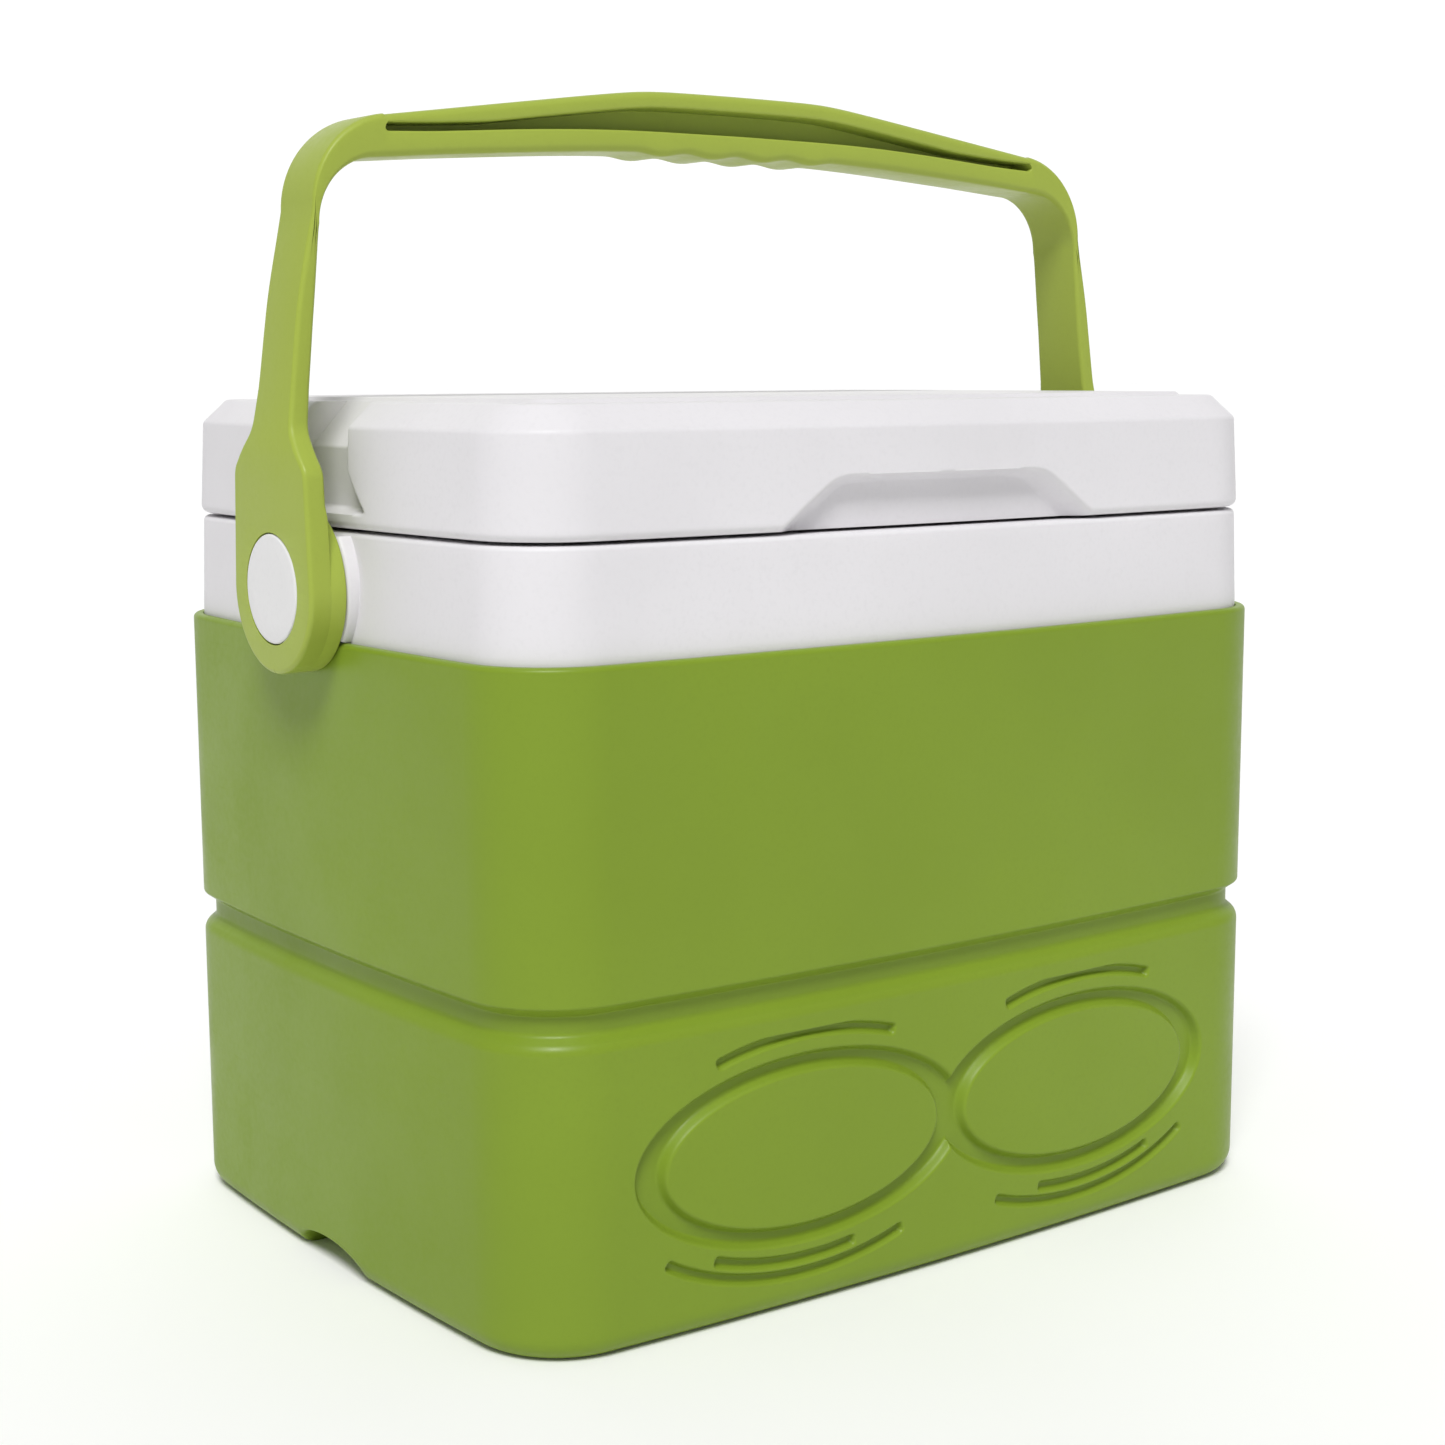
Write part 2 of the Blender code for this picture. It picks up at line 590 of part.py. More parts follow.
def pivot_parts(mats, axis):
    """Bush and cap that turn with the handle, and the stud, washer and screw that hold it."""
    centre = (0, 0, PIVOT_Z)
    for side in (-1, 1):
        end = side_name(side)
        ring_part(f"pivot_bush_{end}", side, 161.0, 165.9, STUD_RADIUS + GAP, BUSH_RADIUS, mats["white"], axis)
        ring_part(f"pivot_stud_{end}", side, EAR_OUT + GAP, 166.4, 2.5, STUD_RADIUS, mats["white"])
        ring_part(f"pivot_washer_{end}", side, 166.7, 167.7, 2.5, 13.0, mats["steel"])
        cap = [(170.0, 15.6), (170.3, CAP_RADIUS), (172.0, CAP_RADIUS), (172.6, 15.8), (172.9, 9.0)]
        rings = turned_rings("X", [(side * x, r) for x, r in cap], centre, 28)
        loft(f"pivot_cap_{end}", rings, mats["white"], axis)
        screw = [(153.0, 1.4), (154.5, 2.2), (168.0, 2.2), (168.0, 4.6), (169.0, 4.6), (169.6, 3.4)]
        rings = turned_rings("X", [(side * x, r) for x, r in screw], centre, 12)
        loft(f"pivot_screw_{end}", rings, mats["steel"])


# ---------------------------------------------------------------- lid


def lid_shell(mats, axis):
    lip = 23.6
    inside = [(30.0, 275.2), (17.0, 274.2), (7.6, 268.0), (7.6, 241.7), (lip, 241.7), (lip, LID_BOTTOM)]
    groove = [(21.8, LID_BOTTOM), (21.8, 240.0), (17.8, 240.0), (17.8, LID_BOTTOM)]
    outside = [(6.6, LID_BOTTOM), (4.7, 239.3), (4.0, 241.4), (5.4, 268.4), (6.4, 270.5)]
    outside += [(12.8, 276.0), (15.2, LID_RIM), (24.0, LID_RIM), (26.5, LID_TOP)]
    shell = loft("lid_shell", walls(inside + groove + outside), mats["white"], axis)
    boolean(shell, recess_backing(), "UNION")
    boolean(shell, scoop_backing(), "UNION")
    boolean(shell, recess_cutter(), "DIFFERENCE")
    boolean(shell, scoop_cutter(), "DIFFERENCE")
    return shell


def finger_rings(grow, near, far):
    """Sloping trapezoid under the front of the lid, drawn from near to far behind the body's front."""
    rings = []
    for y, part in ((near, (near - 4.0) / FINGER_DEPTH), (far, (far - 4.0) / FINGER_DEPTH)):
        top = FINGER_TOP - FINGER_TOP_DROP * part + grow
        top_half = FINGER_HALF - FINGER_HALF_LOSS * part + grow
        low = LID_BOTTOM - 3.0 if grow == 0.0 else LID_BOTTOM + 1.0
        low_half = top_half + (top - low) * FINGER_SLOPE
        place = y - BODY_WIDTH / 2
        outline = [(-low_half, low), (low_half, low), (top_half, top), (-top_half, top)]
        rings.append([(x, place, z) for x, z in outline])
    return rings


# Half width of the end recess at each height. Below the first height the lid's rim runs on as a ledge.
END_RECESS = ((29.0, 243.0), (28.0, 244.5), (23.0, 249.5), (17.5, 256.0), (16.5, 300.0))


def end_outline(grow, top):
    """Half widths of the end recess at each height, as an outline in (y, z)."""
    low = END_RECESS[0][1] if grow == 0.0 else LID_BOTTOM + 1.0
    right = [(END_RECESS[0][0] + grow, low)]
    right += [(half + grow, z) for half, z in END_RECESS[1:-1]]
    right.append((END_RECESS[-1][0] + grow, top))
    return right + [(-y, z) for y, z in reversed(right)]


def add_scoop(bm, side):
    """Wedge that lets the end recess run out through the chamfer into the lid's top."""
    rings = []
    half = END_RECESS[-1][0]
    for y in (-half, half):
        outline = [(END_RECESS_X + 0.5, SCOOP_Z), (165.0, SCOOP_Z), (165.0, 285.0), (129.5, 285.0)]
        rings.append([(side * x, y, z) for x, z in outline])
    add_loft(bm, rings)


def recess_backing():
    """Second layer behind the finger recess and the end recesses."""
    bm = bmesh.new()
    add_loft(bm, finger_rings(BACKING, 6.5, 4.0 + FINGER_DEPTH + BACKING))
    for side in (-1, 1):
        low, high = sorted((side * (END_RECESS_X - BACKING), side * 153.6))
        add_prism(bm, end_outline(BACKING, SCOOP_Z - 0.5), low, high)
    return add_object("recess_backing", bm)


def scoop_backing():
    """Second layer behind the scoops, up to the lid's ceiling."""
    bm = bmesh.new()
    far = END_RECESS_X - BACKING
    outline = [(far, 257.0), (153.0, 257.0), (153.0, 268.2), (143.2, 275.0), (132.9, 275.9), (far, 260.5)]
    half = END_RECESS[-1][0] + 3.0
    for side in (-1, 1):
        add_loft(bm, [[(side * x, y, z) for x, z in outline] for y in (-half, half)])
    return add_object("scoop_backing", bm)


def recess_cutter():
    bm = bmesh.new()
    add_loft(bm, finger_rings(0.0, 2.0, 4.0 + FINGER_DEPTH))
    for side in (-1, 1):
        low, high = sorted((side * END_RECESS_X, side * 165.0))
        add_prism(bm, end_outline(0.0, SCOOP_Z + 0.5), low, high)
        x = side * HINGE_X
        seat = (x - SEAT_HALF, HINGE_Y - SEAT_DEPTH, LID_BOTTOM - 5)
        add_box(bm, seat, (x + SEAT_HALF, BODY_WIDTH / 2 + 8, 266.5))
    return add_object("recess_cutter", bm)


def scoop_cutter():
    bm = bmesh.new()
    add_scoop(bm, -1)
    add_scoop(bm, 1)
    add_screw_holes(bm, 1, HOLE_RADIUS)
    return add_object("scoop_cutter", bm)


def lid_inner_parts(mats, axis):
    plug = PLUG_INSET
    outside = [(plug + 5, 228.0), (plug + 1, 229.2), (plug, 232.0), (plug, 242.0), (20.0, 242.0), (20.0, 244.0)]
    inside = [(plug + 2.5, 244.0), (plug + 2.5, 233.0), (plug + 6, 230.5)]
    loft("lid_liner", walls(outside + inside, TUB_CORNER), mats["white"], axis)
    block = [(plug + 7, 230.8), (plug + 2.8, 233.3), (plug + 2.8, 244.3), (20.0, 244.3), (20.0, 262.0)]
    block += [(45.0, 266.0), (45.0, 274.0)]
    loft("lid_foam", walls(block, TUB_CORNER), mats["cream"], axis)
    seal = [(18.2, 237.8), (18.2, 239.7), (21.4, 239.7), (21.4, 237.8)]
    loft("lid_gasket", walls(list(reversed(seal))), mats["black"], axis, closed=True)


# ---------------------------------------------------------------- rear hinges


def screw_places(upper):
    """X and Z of the hinge screws: above the pin for the lid, below it for the collar."""
    z = LID_SCREW_Z if upper > 0 else COLLAR_SCREW_Z
    offsets = (-SCREW_OFFSET, SCREW_OFFSET)
    return [(side * HINGE_X + offset, z) for side in (-1, 1) for offset in offsets]


def add_screw_holes(bm, upper, radius):
    for x, z in screw_places(upper):
        add_turned(bm, "Y", [(105.0, radius), (125.0, radius)], (x, 0, z), 10)


def knuckle_section(x, upper):
    """Leaf and knuckle as one section at x: a plate with a round eye at the pin."""
    eye = []
    steps = 8
    for i in range(steps + 1):
        a = math.radians(-150 + 240 * i / steps)
        eye.append((HINGE_Y + KNUCKLE_RADIUS * math.cos(a), KNUCKLE_RADIUS * math.sin(a)))
    back = HINGE_Y - KNUCKLE_RADIUS
    front = back + LEAF_THICKNESS
    web = LEAF_NEAR + 1
    outline = [(back, eye[0][1])] + eye + [(front, KNUCKLE_RADIUS), (front, web), (back, web)]
    return [(x, y, HINGE_Z + upper * z) for y, z in outline]


def hinge_leaf(name, centre_x, upper, spans, mat, parent=None):
    """A leaf plate with knuckles over the given spans, drilled for its screws and its pin."""
    bm = bmesh.new()
    back = HINGE_Y - KNUCKLE_RADIUS
    reach = sorted((HINGE_Z + upper * LEAF_NEAR, HINGE_Z + upper * LEAF_FAR))
    low = (centre_x - LEAF_HALF, back, reach[0])
    add_box(bm, low, (centre_x + LEAF_HALF, back + LEAF_THICKNESS, reach[1]))
    leaf = add_object(name, bm, mat, parent)
    eyes = bmesh.new()
    for start, stop in spans:
        add_loft(eyes, [knuckle_section(centre_x + start, upper), knuckle_section(centre_x + stop, upper)])
    boolean(leaf, add_object(name + "_eyes", eyes), "UNION")
    holes = bmesh.new()
    bore = [(-LEAF_HALF - 5, PIN_RADIUS + GAP), (LEAF_HALF + 5, PIN_RADIUS + GAP)]
    add_turned(holes, "X", bore, (centre_x, HINGE_Y, HINGE_Z), 12)
    for x, z in screw_places(upper):
        if abs(x - centre_x) < LEAF_HALF:
            add_turned(holes, "Y", [(110.0, HOLE_RADIUS), (125.0, HOLE_RADIUS)], (x, 0, z), 10)
    boolean(leaf, add_object(name + "_holes", holes), "DIFFERENCE")


def hinges(mats, axis):
    screw = [(108.5, 0.7), (109.5, 1.3), (117.7, 1.3), (117.7, 3.0), (118.6, 3.0), (119.2, 2.0)]
    for side in (-1, 1):
        end = side_name(side)
        x = side * HINGE_X
        middle = 7.0
        outer = ((-LEAF_HALF, -middle - GAP), (middle + GAP, LEAF_HALF))
        hinge_leaf(f"hinge_base_{end}", x, -1, outer, mats["white"])
        hinge_leaf(f"hinge_leaf_{end}", x, 1, ((-middle, middle),), mats["white"], axis)
        pin = [(0.5 - LEAF_HALF, PIN_RADIUS), (LEAF_HALF - 0.5, PIN_RADIUS)]
        rings = turned_rings("X", pin, (x, HINGE_Y, HINGE_Z), 12)
        loft(f"hinge_pin_{end}", rings, mats["steel"])
    for upper, kind, parent in ((-1, "base", None), (1, "leaf", axis)):
        for number, (x, z) in enumerate(screw_places(upper), start=1):
            rings = turned_rings("Y", screw, (x, 0, z), 10)
            loft(f"hinge_{kind}_screw_{number}", rings, mats["steel"], parent)


def main():
    clear_scene()
    mats = {
        "green": material("body_green", GREEN, 0.38),
        "leaf_green": material("handle_green", LEAF_GREEN, 0.36),
        "white": material("white_plastic", WHITE, 0.35),
        "cream": material("rigid_foam", CREAM, 0.9),
        "steel": material("plated_steel", STEEL, 0.3, 1.0),
        "black": material("soft_rubber", BLACK, 0.7),
    }
    handle_axis = joint_empty("handle_axis", (0, 0, PIVOT_Z))
    lid_axis = joint_empty("lid_axis", (0, HINGE_Y, HINGE_Z))
    outer_body(mats)
    body_foam(mats)
    inner_liner(mats)
    collar(mats)
    handle_frame(mats, handle_axis)
    pivot_parts(mats, handle_axis)
    lid_shell(mats, lid_axis)
    lid_inner_parts(mats, lid_axis)
    hinges(mats, lid_axis)


main()
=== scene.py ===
"""Looks of the cool box: green moulded body, white collar and lid, green bail handle.

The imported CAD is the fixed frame. Every visible moulding is rebuilt here as a fine mesh of the same
size, in place of its CAD node, and gets a procedural plastic. Lengths are in millimetres and MM turns
them into metres. +Z is up, the long side lies along X and the front faces -Y.
"""

import json
import math

import bpy
import numpy as np
from mathutils import Matrix, Vector


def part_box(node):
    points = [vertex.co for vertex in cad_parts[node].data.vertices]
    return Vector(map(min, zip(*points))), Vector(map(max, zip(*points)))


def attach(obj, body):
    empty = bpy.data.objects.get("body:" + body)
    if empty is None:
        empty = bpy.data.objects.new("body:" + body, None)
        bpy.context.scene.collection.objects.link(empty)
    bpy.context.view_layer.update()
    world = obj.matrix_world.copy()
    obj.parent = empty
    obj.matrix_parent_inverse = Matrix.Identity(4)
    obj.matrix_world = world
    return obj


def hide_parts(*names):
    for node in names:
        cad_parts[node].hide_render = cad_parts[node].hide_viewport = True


MM = 0.001
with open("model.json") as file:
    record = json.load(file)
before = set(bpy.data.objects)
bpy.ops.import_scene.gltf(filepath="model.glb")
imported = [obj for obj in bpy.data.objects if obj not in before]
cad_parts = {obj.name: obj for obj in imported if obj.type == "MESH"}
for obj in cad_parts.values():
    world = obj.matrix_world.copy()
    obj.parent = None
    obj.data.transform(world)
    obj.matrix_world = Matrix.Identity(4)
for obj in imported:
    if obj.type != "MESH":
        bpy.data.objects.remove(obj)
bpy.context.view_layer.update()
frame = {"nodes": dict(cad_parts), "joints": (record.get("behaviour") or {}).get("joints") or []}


def box_mm(node):
    """Lowest and highest corner of a CAD node in millimetres."""
    low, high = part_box(node)
    return low / MM, high / MM


JOINTS = {joint["name"]: joint for joint in frame["joints"]}
BODY_LOW, BODY_HIGH = box_mm("outer_body")
COLLAR_LOW = box_mm("collar")[0]
LID_LOW, LID_HIGH = box_mm("lid_shell")
FRAME_HIGH = box_mm("handle_frame")[1]
LINER_HIGH = box_mm("inner_liner")[1]
PLUG_LOW, PLUG_HIGH = box_mm("lid_liner")
SEAL_LOW, SEAL_HIGH = box_mm("lid_gasket")
CAP_LOW, CAP_HIGH = box_mm("pivot_cap_right")

# Body plan: a rectangle with bowed sides and round corners
BODY_LENGTH = BODY_HIGH.x - BODY_LOW.x
BODY_WIDTH = BODY_HIGH.y - BODY_LOW.y
BOW_FRONT, BOW_END = 6.0, 5.5
CORNER_RADIUS = 32.0
EDGE_RADIUS = 14.0
WALL = 3.3

# Heights
BODY_TOP = BODY_HIGH.z
COLLAR_TOP = LINER_HIGH.z
LID_BOTTOM = LID_LOW.z
LID_TOP = LID_HIGH.z
PANEL_RISE = 1.2  # raised panel on top of the lid
LID_INSET = 4.0  # the lid's front stands this far behind the body's
INNER_INSET, SKIRT_Z, INNER_FLOOR = 7.8, 187.0, 10.0  # inside of the body's wall, behind groove and relief
COLLAR_INSET, COLLAR_INNER, LEDGE_INSET, FLANGE_Z = 3.6, 8.0, 19.0, 233.5
TUB_INSET, TUB_DRAFT, TUB_WALL, TUB_FLOOR, TUB_CORNER = 19.3, 4.0, 2.5, 26.0, 16.0
CAP_INSET = 60.0  # well inside a wall, where its flat bottom or top is closed
PLUG_INSET, LIP_INSET = 24.2, 23.6
SEAL_NEAR, SEAL_FAR = 18.2, 21.4
SEAL_PLAY = 0.4  # clearance on each side of the seal in its channel
CHANNEL_TOP = 240.0  # ceiling of the seal's channel
GROOVE_LOW, GROOVE_HIGH, GROOVE_DEPTH = 92.0, 107.0, 4.0

# Two moulded ovals on the front, each an island inside a channel, with three slots round it
OVAL_X, OVAL_Z = 57.5, 51.2
CHANNEL_A, CHANNEL_B, CHANNEL_DEPTH = 62.5, 30.0, 3.2
ISLAND_A, ISLAND_B = 51.8, 24.0
SLOT_WIDTH, SLOT_DEPTH = 3.2, 2.2
SLOTS = ((67.2, 36.0, 60.0, 120.0), (70.0, 39.6, 222.4, 302.1), (64.0, 34.8, 237.2, 286.2))
RELIEF_X, RELIEF_LOW, RELIEF_TOP = 128.0, 5.0, 88.0  # the part of the front that the relief reaches
RELIEF_STEP, ROW_STEP = 0.5, 0.4  # width and height of the relief's mesh
SLOT_EDGE, SLOT_RAMP = 1.1, 1.3  # corner radius of a slot's ends, and width of its sloping side
NOTCH_HALF_WIDTH, NOTCH_HEIGHT, NOTCH_DEPTH, NOTCH_FADE = 22.0, 9.0, 17.0, 1.2

# Handle
PIVOT_Z = JOINTS["handle_swing"]["pos_m"][2] / MM
HUB_RADIUS = 26.3
PLATE_OUT, PLATE_IN, HUB_IN = 172.4, 165.4, 160.1
GRIP_HALF_DEPTH = 11.5
CAP_RADIUS = (CAP_HIGH.y - CAP_LOW.y) / 2
EAR_RADIUS, EAR_IN, EAR_OUT, EAR_TOP = 25.8, 152.5, 159.8, 236.6
POCKET_END, POCKET_WEB, POCKET_RIM = 135.0, 1.2, 5.3
POCKET_TIP, POCKET_LIP = 2.6, 0.7  # height of the pocket at its ends, and radius of its edge
BUMP_LENGTH, BUMP_HEIGHT = 21.0, 0.6  # four finger bumps under the grip
BORE_START, DRUM_BORE = 166.0, 9.8  # where the bore widens for the cap, and its radius before that
ARM_OUT = ((262.0, 172.4), (281.0, 169.3), (308.0, 165.6), (335.0, 160.0))
ARM_IN = ((262.0, 165.4), (281.0, 163.1), (308.0, 160.1), (329.5, 158.0))
GRIP_UNDER = ((0.0, 357.0), (47.0, 356.6), (103.0, 353.2), (137.0, 350.5))
POCKET_FLOOR = ((0.0, 363.8), (46.0, 363.4), (79.0, 362.0), (117.0, 359.3), (135.0, 358.4))
CORNER_OUT = (131.0, 335.0, 29.0)  # x, z and radius of the outer corner arc
CORNER_IN = (137.0, 329.5, 21.0)
CORNER_SWEEP = 82.0
TOP_FLAT, TOP_SLOPE = 38.0, 0.1405
ARM_BEVEL, GRIP_BEVEL = 1.5, 2.5

# Lid recesses
FINGER_DEPTH, FINGER_TOP, FINGER_HALF, FINGER_SLOPE = 7.0, 255.3, 45.0, 1.34
FINGER_DROP, FINGER_RUN = 2.7, 11.6  # reach of the recess's sloping ceiling and sides
FINE_TOP = 258.0  # fine rows of the lid's mesh end here, above the finger recess
END_WALL_X, SCOOP_Z, SCOOP_SLOPE = 149.5, 262.5, 0.911
END_RECESS = ((238.0, 29.5), (243.0, 29.0), (244.5, 28.0), (249.5, 23.0), (256.0, 17.5), (300.0, 16.5))
LEDGE_Z, RECESS_EDGE = 243.6, 4.4  # height of the ledge under the end recess, and width of its soft side
HINGE_X = 80.0
HINGE_Y = JOINTS["lid_open"]["pos_m"][1] / MM
HINGE_Z = JOINTS["lid_open"]["pos_m"][2] / MM
KNUCKLE_RADIUS, PIN_BORE = 3.0, 1.5
LEAF_HALF, LEAF_THICKNESS = 20.0, 2.0
LEAF_NEAR, LEAF_FAR = 4.0, 26.0  # from the pin to the near and the far edge of a plate
BASE_KNUCKLES, LID_KNUCKLES = ((-20, -7.3), (7.3, 20)), ((-7, 7),)
SEAT_HALF, SEAT_DEPTH = 21.0, 3.6  # flat seat behind a hinge, measured in from the pin
SEAT_LOW, SEAT_MIDDLE, SEAT_TOP = 208.0, 250.0, 266.5
SCREW_OFFSET, COLLAR_SCREW_Z, LID_SCREW_Z = 12.0, 219.0, 256.0


# ---------------------------------------------------------------- curves


def smooth(t):
    """Soft step from 0 to 1."""
    t = np.clip(t, 0.0, 1.0)
    return t * t * (3 - 2 * t)


def curve_at(points, at):
    """Smooth curve through control points (at, value), read at one place."""
    last = len(points) - 2
    i = next((k for k in range(last) if at <= points[k + 1][0]), last)
    t0, v0 = points[i]
    t1, v1 = points[i + 1]
    before, after = points[max(i - 1, 0)], points[min(i + 2, last + 1)]
    m0 = (v1 - before[1]) / (t1 - before[0])
    m1 = (after[1] - v0) / (after[0] - t0)
    span = t1 - t0
    s = (at - t0) / span
    rise = s * s * (3 - 2 * s)
    return v0 + rise * (v1 - v0) + s * (1 - s) * span * ((1 - s) * m0 - s * m1)


def rounded(points, steps=6, closed=False):
    """Polyline through (u, v, radius) points with its corners rounded."""
    path = []
    count = len(points)
    for i, (u, v, radius) in enumerate(points):
        if radius <= 0 or (not closed and i in (0, count - 1)):
            path.append((u, v))
            continue
        here = Vector((u, v))
        back = Vector(points[i - 1][:2]) - here
        ahead = Vector(points[(i + 1) % count][:2]) - here
        half = back.angle(ahead) / 2
        reach = min(radius / math.tan(half), 0.49 * back.length, 0.49 * ahead.length)
        back.normalize()
        ahead.normalize()
        centre = here + (back + ahead).normalized() * (reach / math.cos(half))
        first, last = here + back * reach - centre, here + ahead * reach - centre
        turn = first.angle_signed(last)
        start = math.atan2(first.y, first.x)
        for k in range(steps + 1):
            a = start - turn * k / steps
            path.append((centre.x + first.length * math.cos(a), centre.y + first.length * math.sin(a)))
    return path


def refined(path, low, high, step):
    """The path with extra points, so that its rows between the heights low and high are step apart."""
    fine = [path[0]]
    for (u0, v0), (u1, v1) in zip(path, path[1:]):
        inside = min(v0, v1) < high and max(v0, v1) > low
        count = max(1, math.ceil(abs(v1 - v0) / step)) if inside else 1
        fine += [(u0 + (u1 - u0) * k / count, v0 + (v1 - v0) * k / count) for k in range(1, count + 1)]
    return fine


def spread(limit, zones):
    """Places from -limit to limit, with the step of each zone (until, step) from the middle out.

    A whole number instead of zones gives that many equal steps.
    """
    if isinstance(zones, int):
        return [limit * (2 * k / zones - 1) for k in range(zones + 1)]
    places, start = [0.0], 0.0
    for until, step in zones:
        stop = min(until, limit)
        count = max(1, math.ceil((stop - start) / step))
        places += [start + (stop - start) * k / count for k in range(1, count + 1)]
        start = stop
        if stop >= limit:
            break
    return [-p for p in reversed(places[1:])] + places


# ---------------------------------------------------------------- meshes


def make_mesh(name, vertices, faces, sharp=40.0):
    mesh = bpy.data.meshes.new(name)
    mesh.from_pydata([tuple(c * MM for c in v) for v in vertices], [], faces)
    mesh.update()
    mesh.shade_smooth()
    mesh.set_sharp_from_angle(angle=math.radians(sharp))
    obj = bpy.data.objects.new(name, mesh)
    bpy.context.scene.collection.objects.link(obj)
    return obj


def skin(rings, closed=False, start=0):
    """Faces that join rings of equal length. A closed skin joins the last ring to the first."""
    size, count = len(rings[0]), len(rings)
    faces = []
    for r in range(count if closed else count - 1):
        low, high = start + r * size, start + (r + 1) % count * size
        for i in range(size):
            j = (i + 1) % size
            faces.append((low + i, low + j, high + j, high + i))
    if not closed:
        faces.append(tuple(range(start + size - 1, start - 1, -1)))
        faces.append(tuple(range(start + (count - 1) * size, start + count * size)))
    return faces


def shells(name, parts, sharp=40.0):
    """One object from several skinned shells, each (rings, closed), all facing outwards."""
    vertices, faces = [], []
    for rings, closed in parts:
        own = skin(rings, closed, len(vertices))
        points = vertices + [v for ring in rings for v in ring]
        volume = 0.0
        for face in own:
            a = Vector(points[face[0]])
            for j, k in zip(face[1:], face[2:]):
                volume += a.dot(Vector(points[j]).cross(Vector(points[k])))
        if volume < 0:
            own = [tuple(reversed(face)) for face in own]
        vertices = points
        faces += own
    return make_mesh(name, vertices, faces, sharp)


def turned(axis, profile, centre, steps=72):
    """Rings about an axis through centre, one for each (place along the axis, radius)."""
    rings = []
    for along, radius in profile:
        ring = []
        for i in range(steps):
            a = 2 * math.pi * i / steps
            u, v = radius * math.cos(a), radius * math.sin(a)
            offset = (along, u, v) if axis == "X" else (u, along, v)
            ring.append(tuple(c + o for c, o in zip(centre, offset)))
        rings.append(ring)
    return rings


def inset_outline(outline, amount):
    """Closed outline, counter-clockwise, moved inwards by amount with mitred corners."""
    moved = []
    for i, point in enumerate(outline):
        here = Vector(point)
        into = (here - Vector(outline[i - 1])).normalized()
        out = (Vector(outline[(i + 1) % len(outline)]) - here).normalized()
        n1, n2 = Vector((-into.y, into.x)), Vector((-out.y, out.x))
        moved.append(tuple(here + (n1 + n2) * (amount / (1 + n1.dot(n2)))))
    return moved


def slab(outline, low, high, bevel, place, steps=4):
    """Rings of a plate with rounded edges. place puts (u, v, height through the plate) in space."""
    rings = []
    for k in range(steps + 1):
        a = math.pi / 2 * k / steps
        shrunk = inset_outline(outline, bevel * (1 - math.sin(a)))
        rings.append([place(u, v, low + bevel * (1 - math.cos(a))) for u, v in shrunk])
    for k in range(steps, -1, -1):
        a = math.pi / 2 * k / steps
        shrunk = inset_outline(outline, bevel * (1 - math.sin(a)))
        rings.append([place(u, v, high - bevel * (1 - math.cos(a))) for u, v in shrunk])
    return rings


# ---------------------------------------------------------------- body plan

FRONT_RADIUS = ((BODY_LENGTH / 2) ** 2 + BOW_FRONT**2) / (2 * BOW_FRONT)
END_RADIUS = ((BODY_WIDTH / 2) ** 2 + BOW_END**2) / (2 * BOW_END)
FRONT_CENTRE = FRONT_RADIUS - BODY_WIDTH / 2
END_CENTRE = END_RADIUS - BODY_LENGTH / 2


def corner_arc(radius, inset=0.0):
    """Centre of the corner arc in the +X +Y quarter, and the angles where it meets end and side."""
    r_front, r_end = FRONT_RADIUS - inset - radius, END_RADIUS - inset - radius
    gap = math.hypot(FRONT_CENTRE, END_CENTRE)
    along = (r_front**2 - r_end**2 + gap**2) / (2 * gap)
    across = math.sqrt(r_front**2 - along**2)
    ux, uy = -END_CENTRE / gap, FRONT_CENTRE / gap
    cx, cy = uy * across + ux * along, -FRONT_CENTRE + uy * along - ux * across
    return cx, cy, math.atan2(cy, cx + END_CENTRE), math.pi / 2 - math.atan2(cx, cy + FRONT_CENTRE)


def stations(front, rear, ends, corner_steps=18, radius=CORNER_RADIUS, inset=0.0):
    """Counter-clockwise outline as rows of x, y and outward normal.

    front, rear and ends are zones for spread(). A place moved in by d is (x, y) - d * normal.
    """
    cx, cy, end_angle, side_angle = corner_arc(radius, inset)
    r_front, r_end = FRONT_RADIUS - inset, END_RADIUS - inset
    end_y, side_x = r_end * math.sin(end_angle), r_front * math.cos(side_angle)

    def end(y, side):
        nx = math.sqrt(1 - (y / r_end) ** 2)
        return side * (r_end * nx - END_CENTRE), y, side * nx, y / r_end

    def long_side(x, side):
        ny = math.sqrt(1 - (x / r_front) ** 2)
        return x, side * (r_front * ny - FRONT_CENTRE), x / r_front, side * ny

    def corner(side_x, side_y, backwards):
        points = []
        for i in range(1, corner_steps):
            a = end_angle + (side_angle - end_angle) * i / corner_steps
            nx, ny = side_x * math.cos(a), side_y * math.sin(a)
            points.append((side_x * cx + radius * nx, side_y * cy + radius * ny, nx, ny))
        return points[::-1] if backwards else points

    end_ys = spread(end_y, ends)
    points = [end(y, 1) for y in end_ys] + corner(1, 1, False)
    points += [long_side(x, 1) for x in reversed(spread(side_x, rear))] + corner(-1, 1, True)
    points += [end(y, -1) for y in reversed(end_ys)] + corner(-1, -1, False)
    points += [long_side(x, -1) for x in spread(side_x, front)] + corner(1, -1, True)
    return np.array(points).T


def wall_rings(outline, profile, warp=None):
    """Rings of a wall whose profile is (inset, z) points. warp may move each inset and z."""
    x, y, nx, ny = outline
    insets = np.array([u for u, _ in profile])[:, None] + 0 * x
    heights = np.array([v for _, v in profile])[:, None] + 0 * x
    if warp is not None:
        insets, heights = warp(outline, insets, heights)
    px, py = x - insets * nx, y - insets * ny
    return [list(zip(px[r], py[r], heights[r])) for r in range(len(profile))]


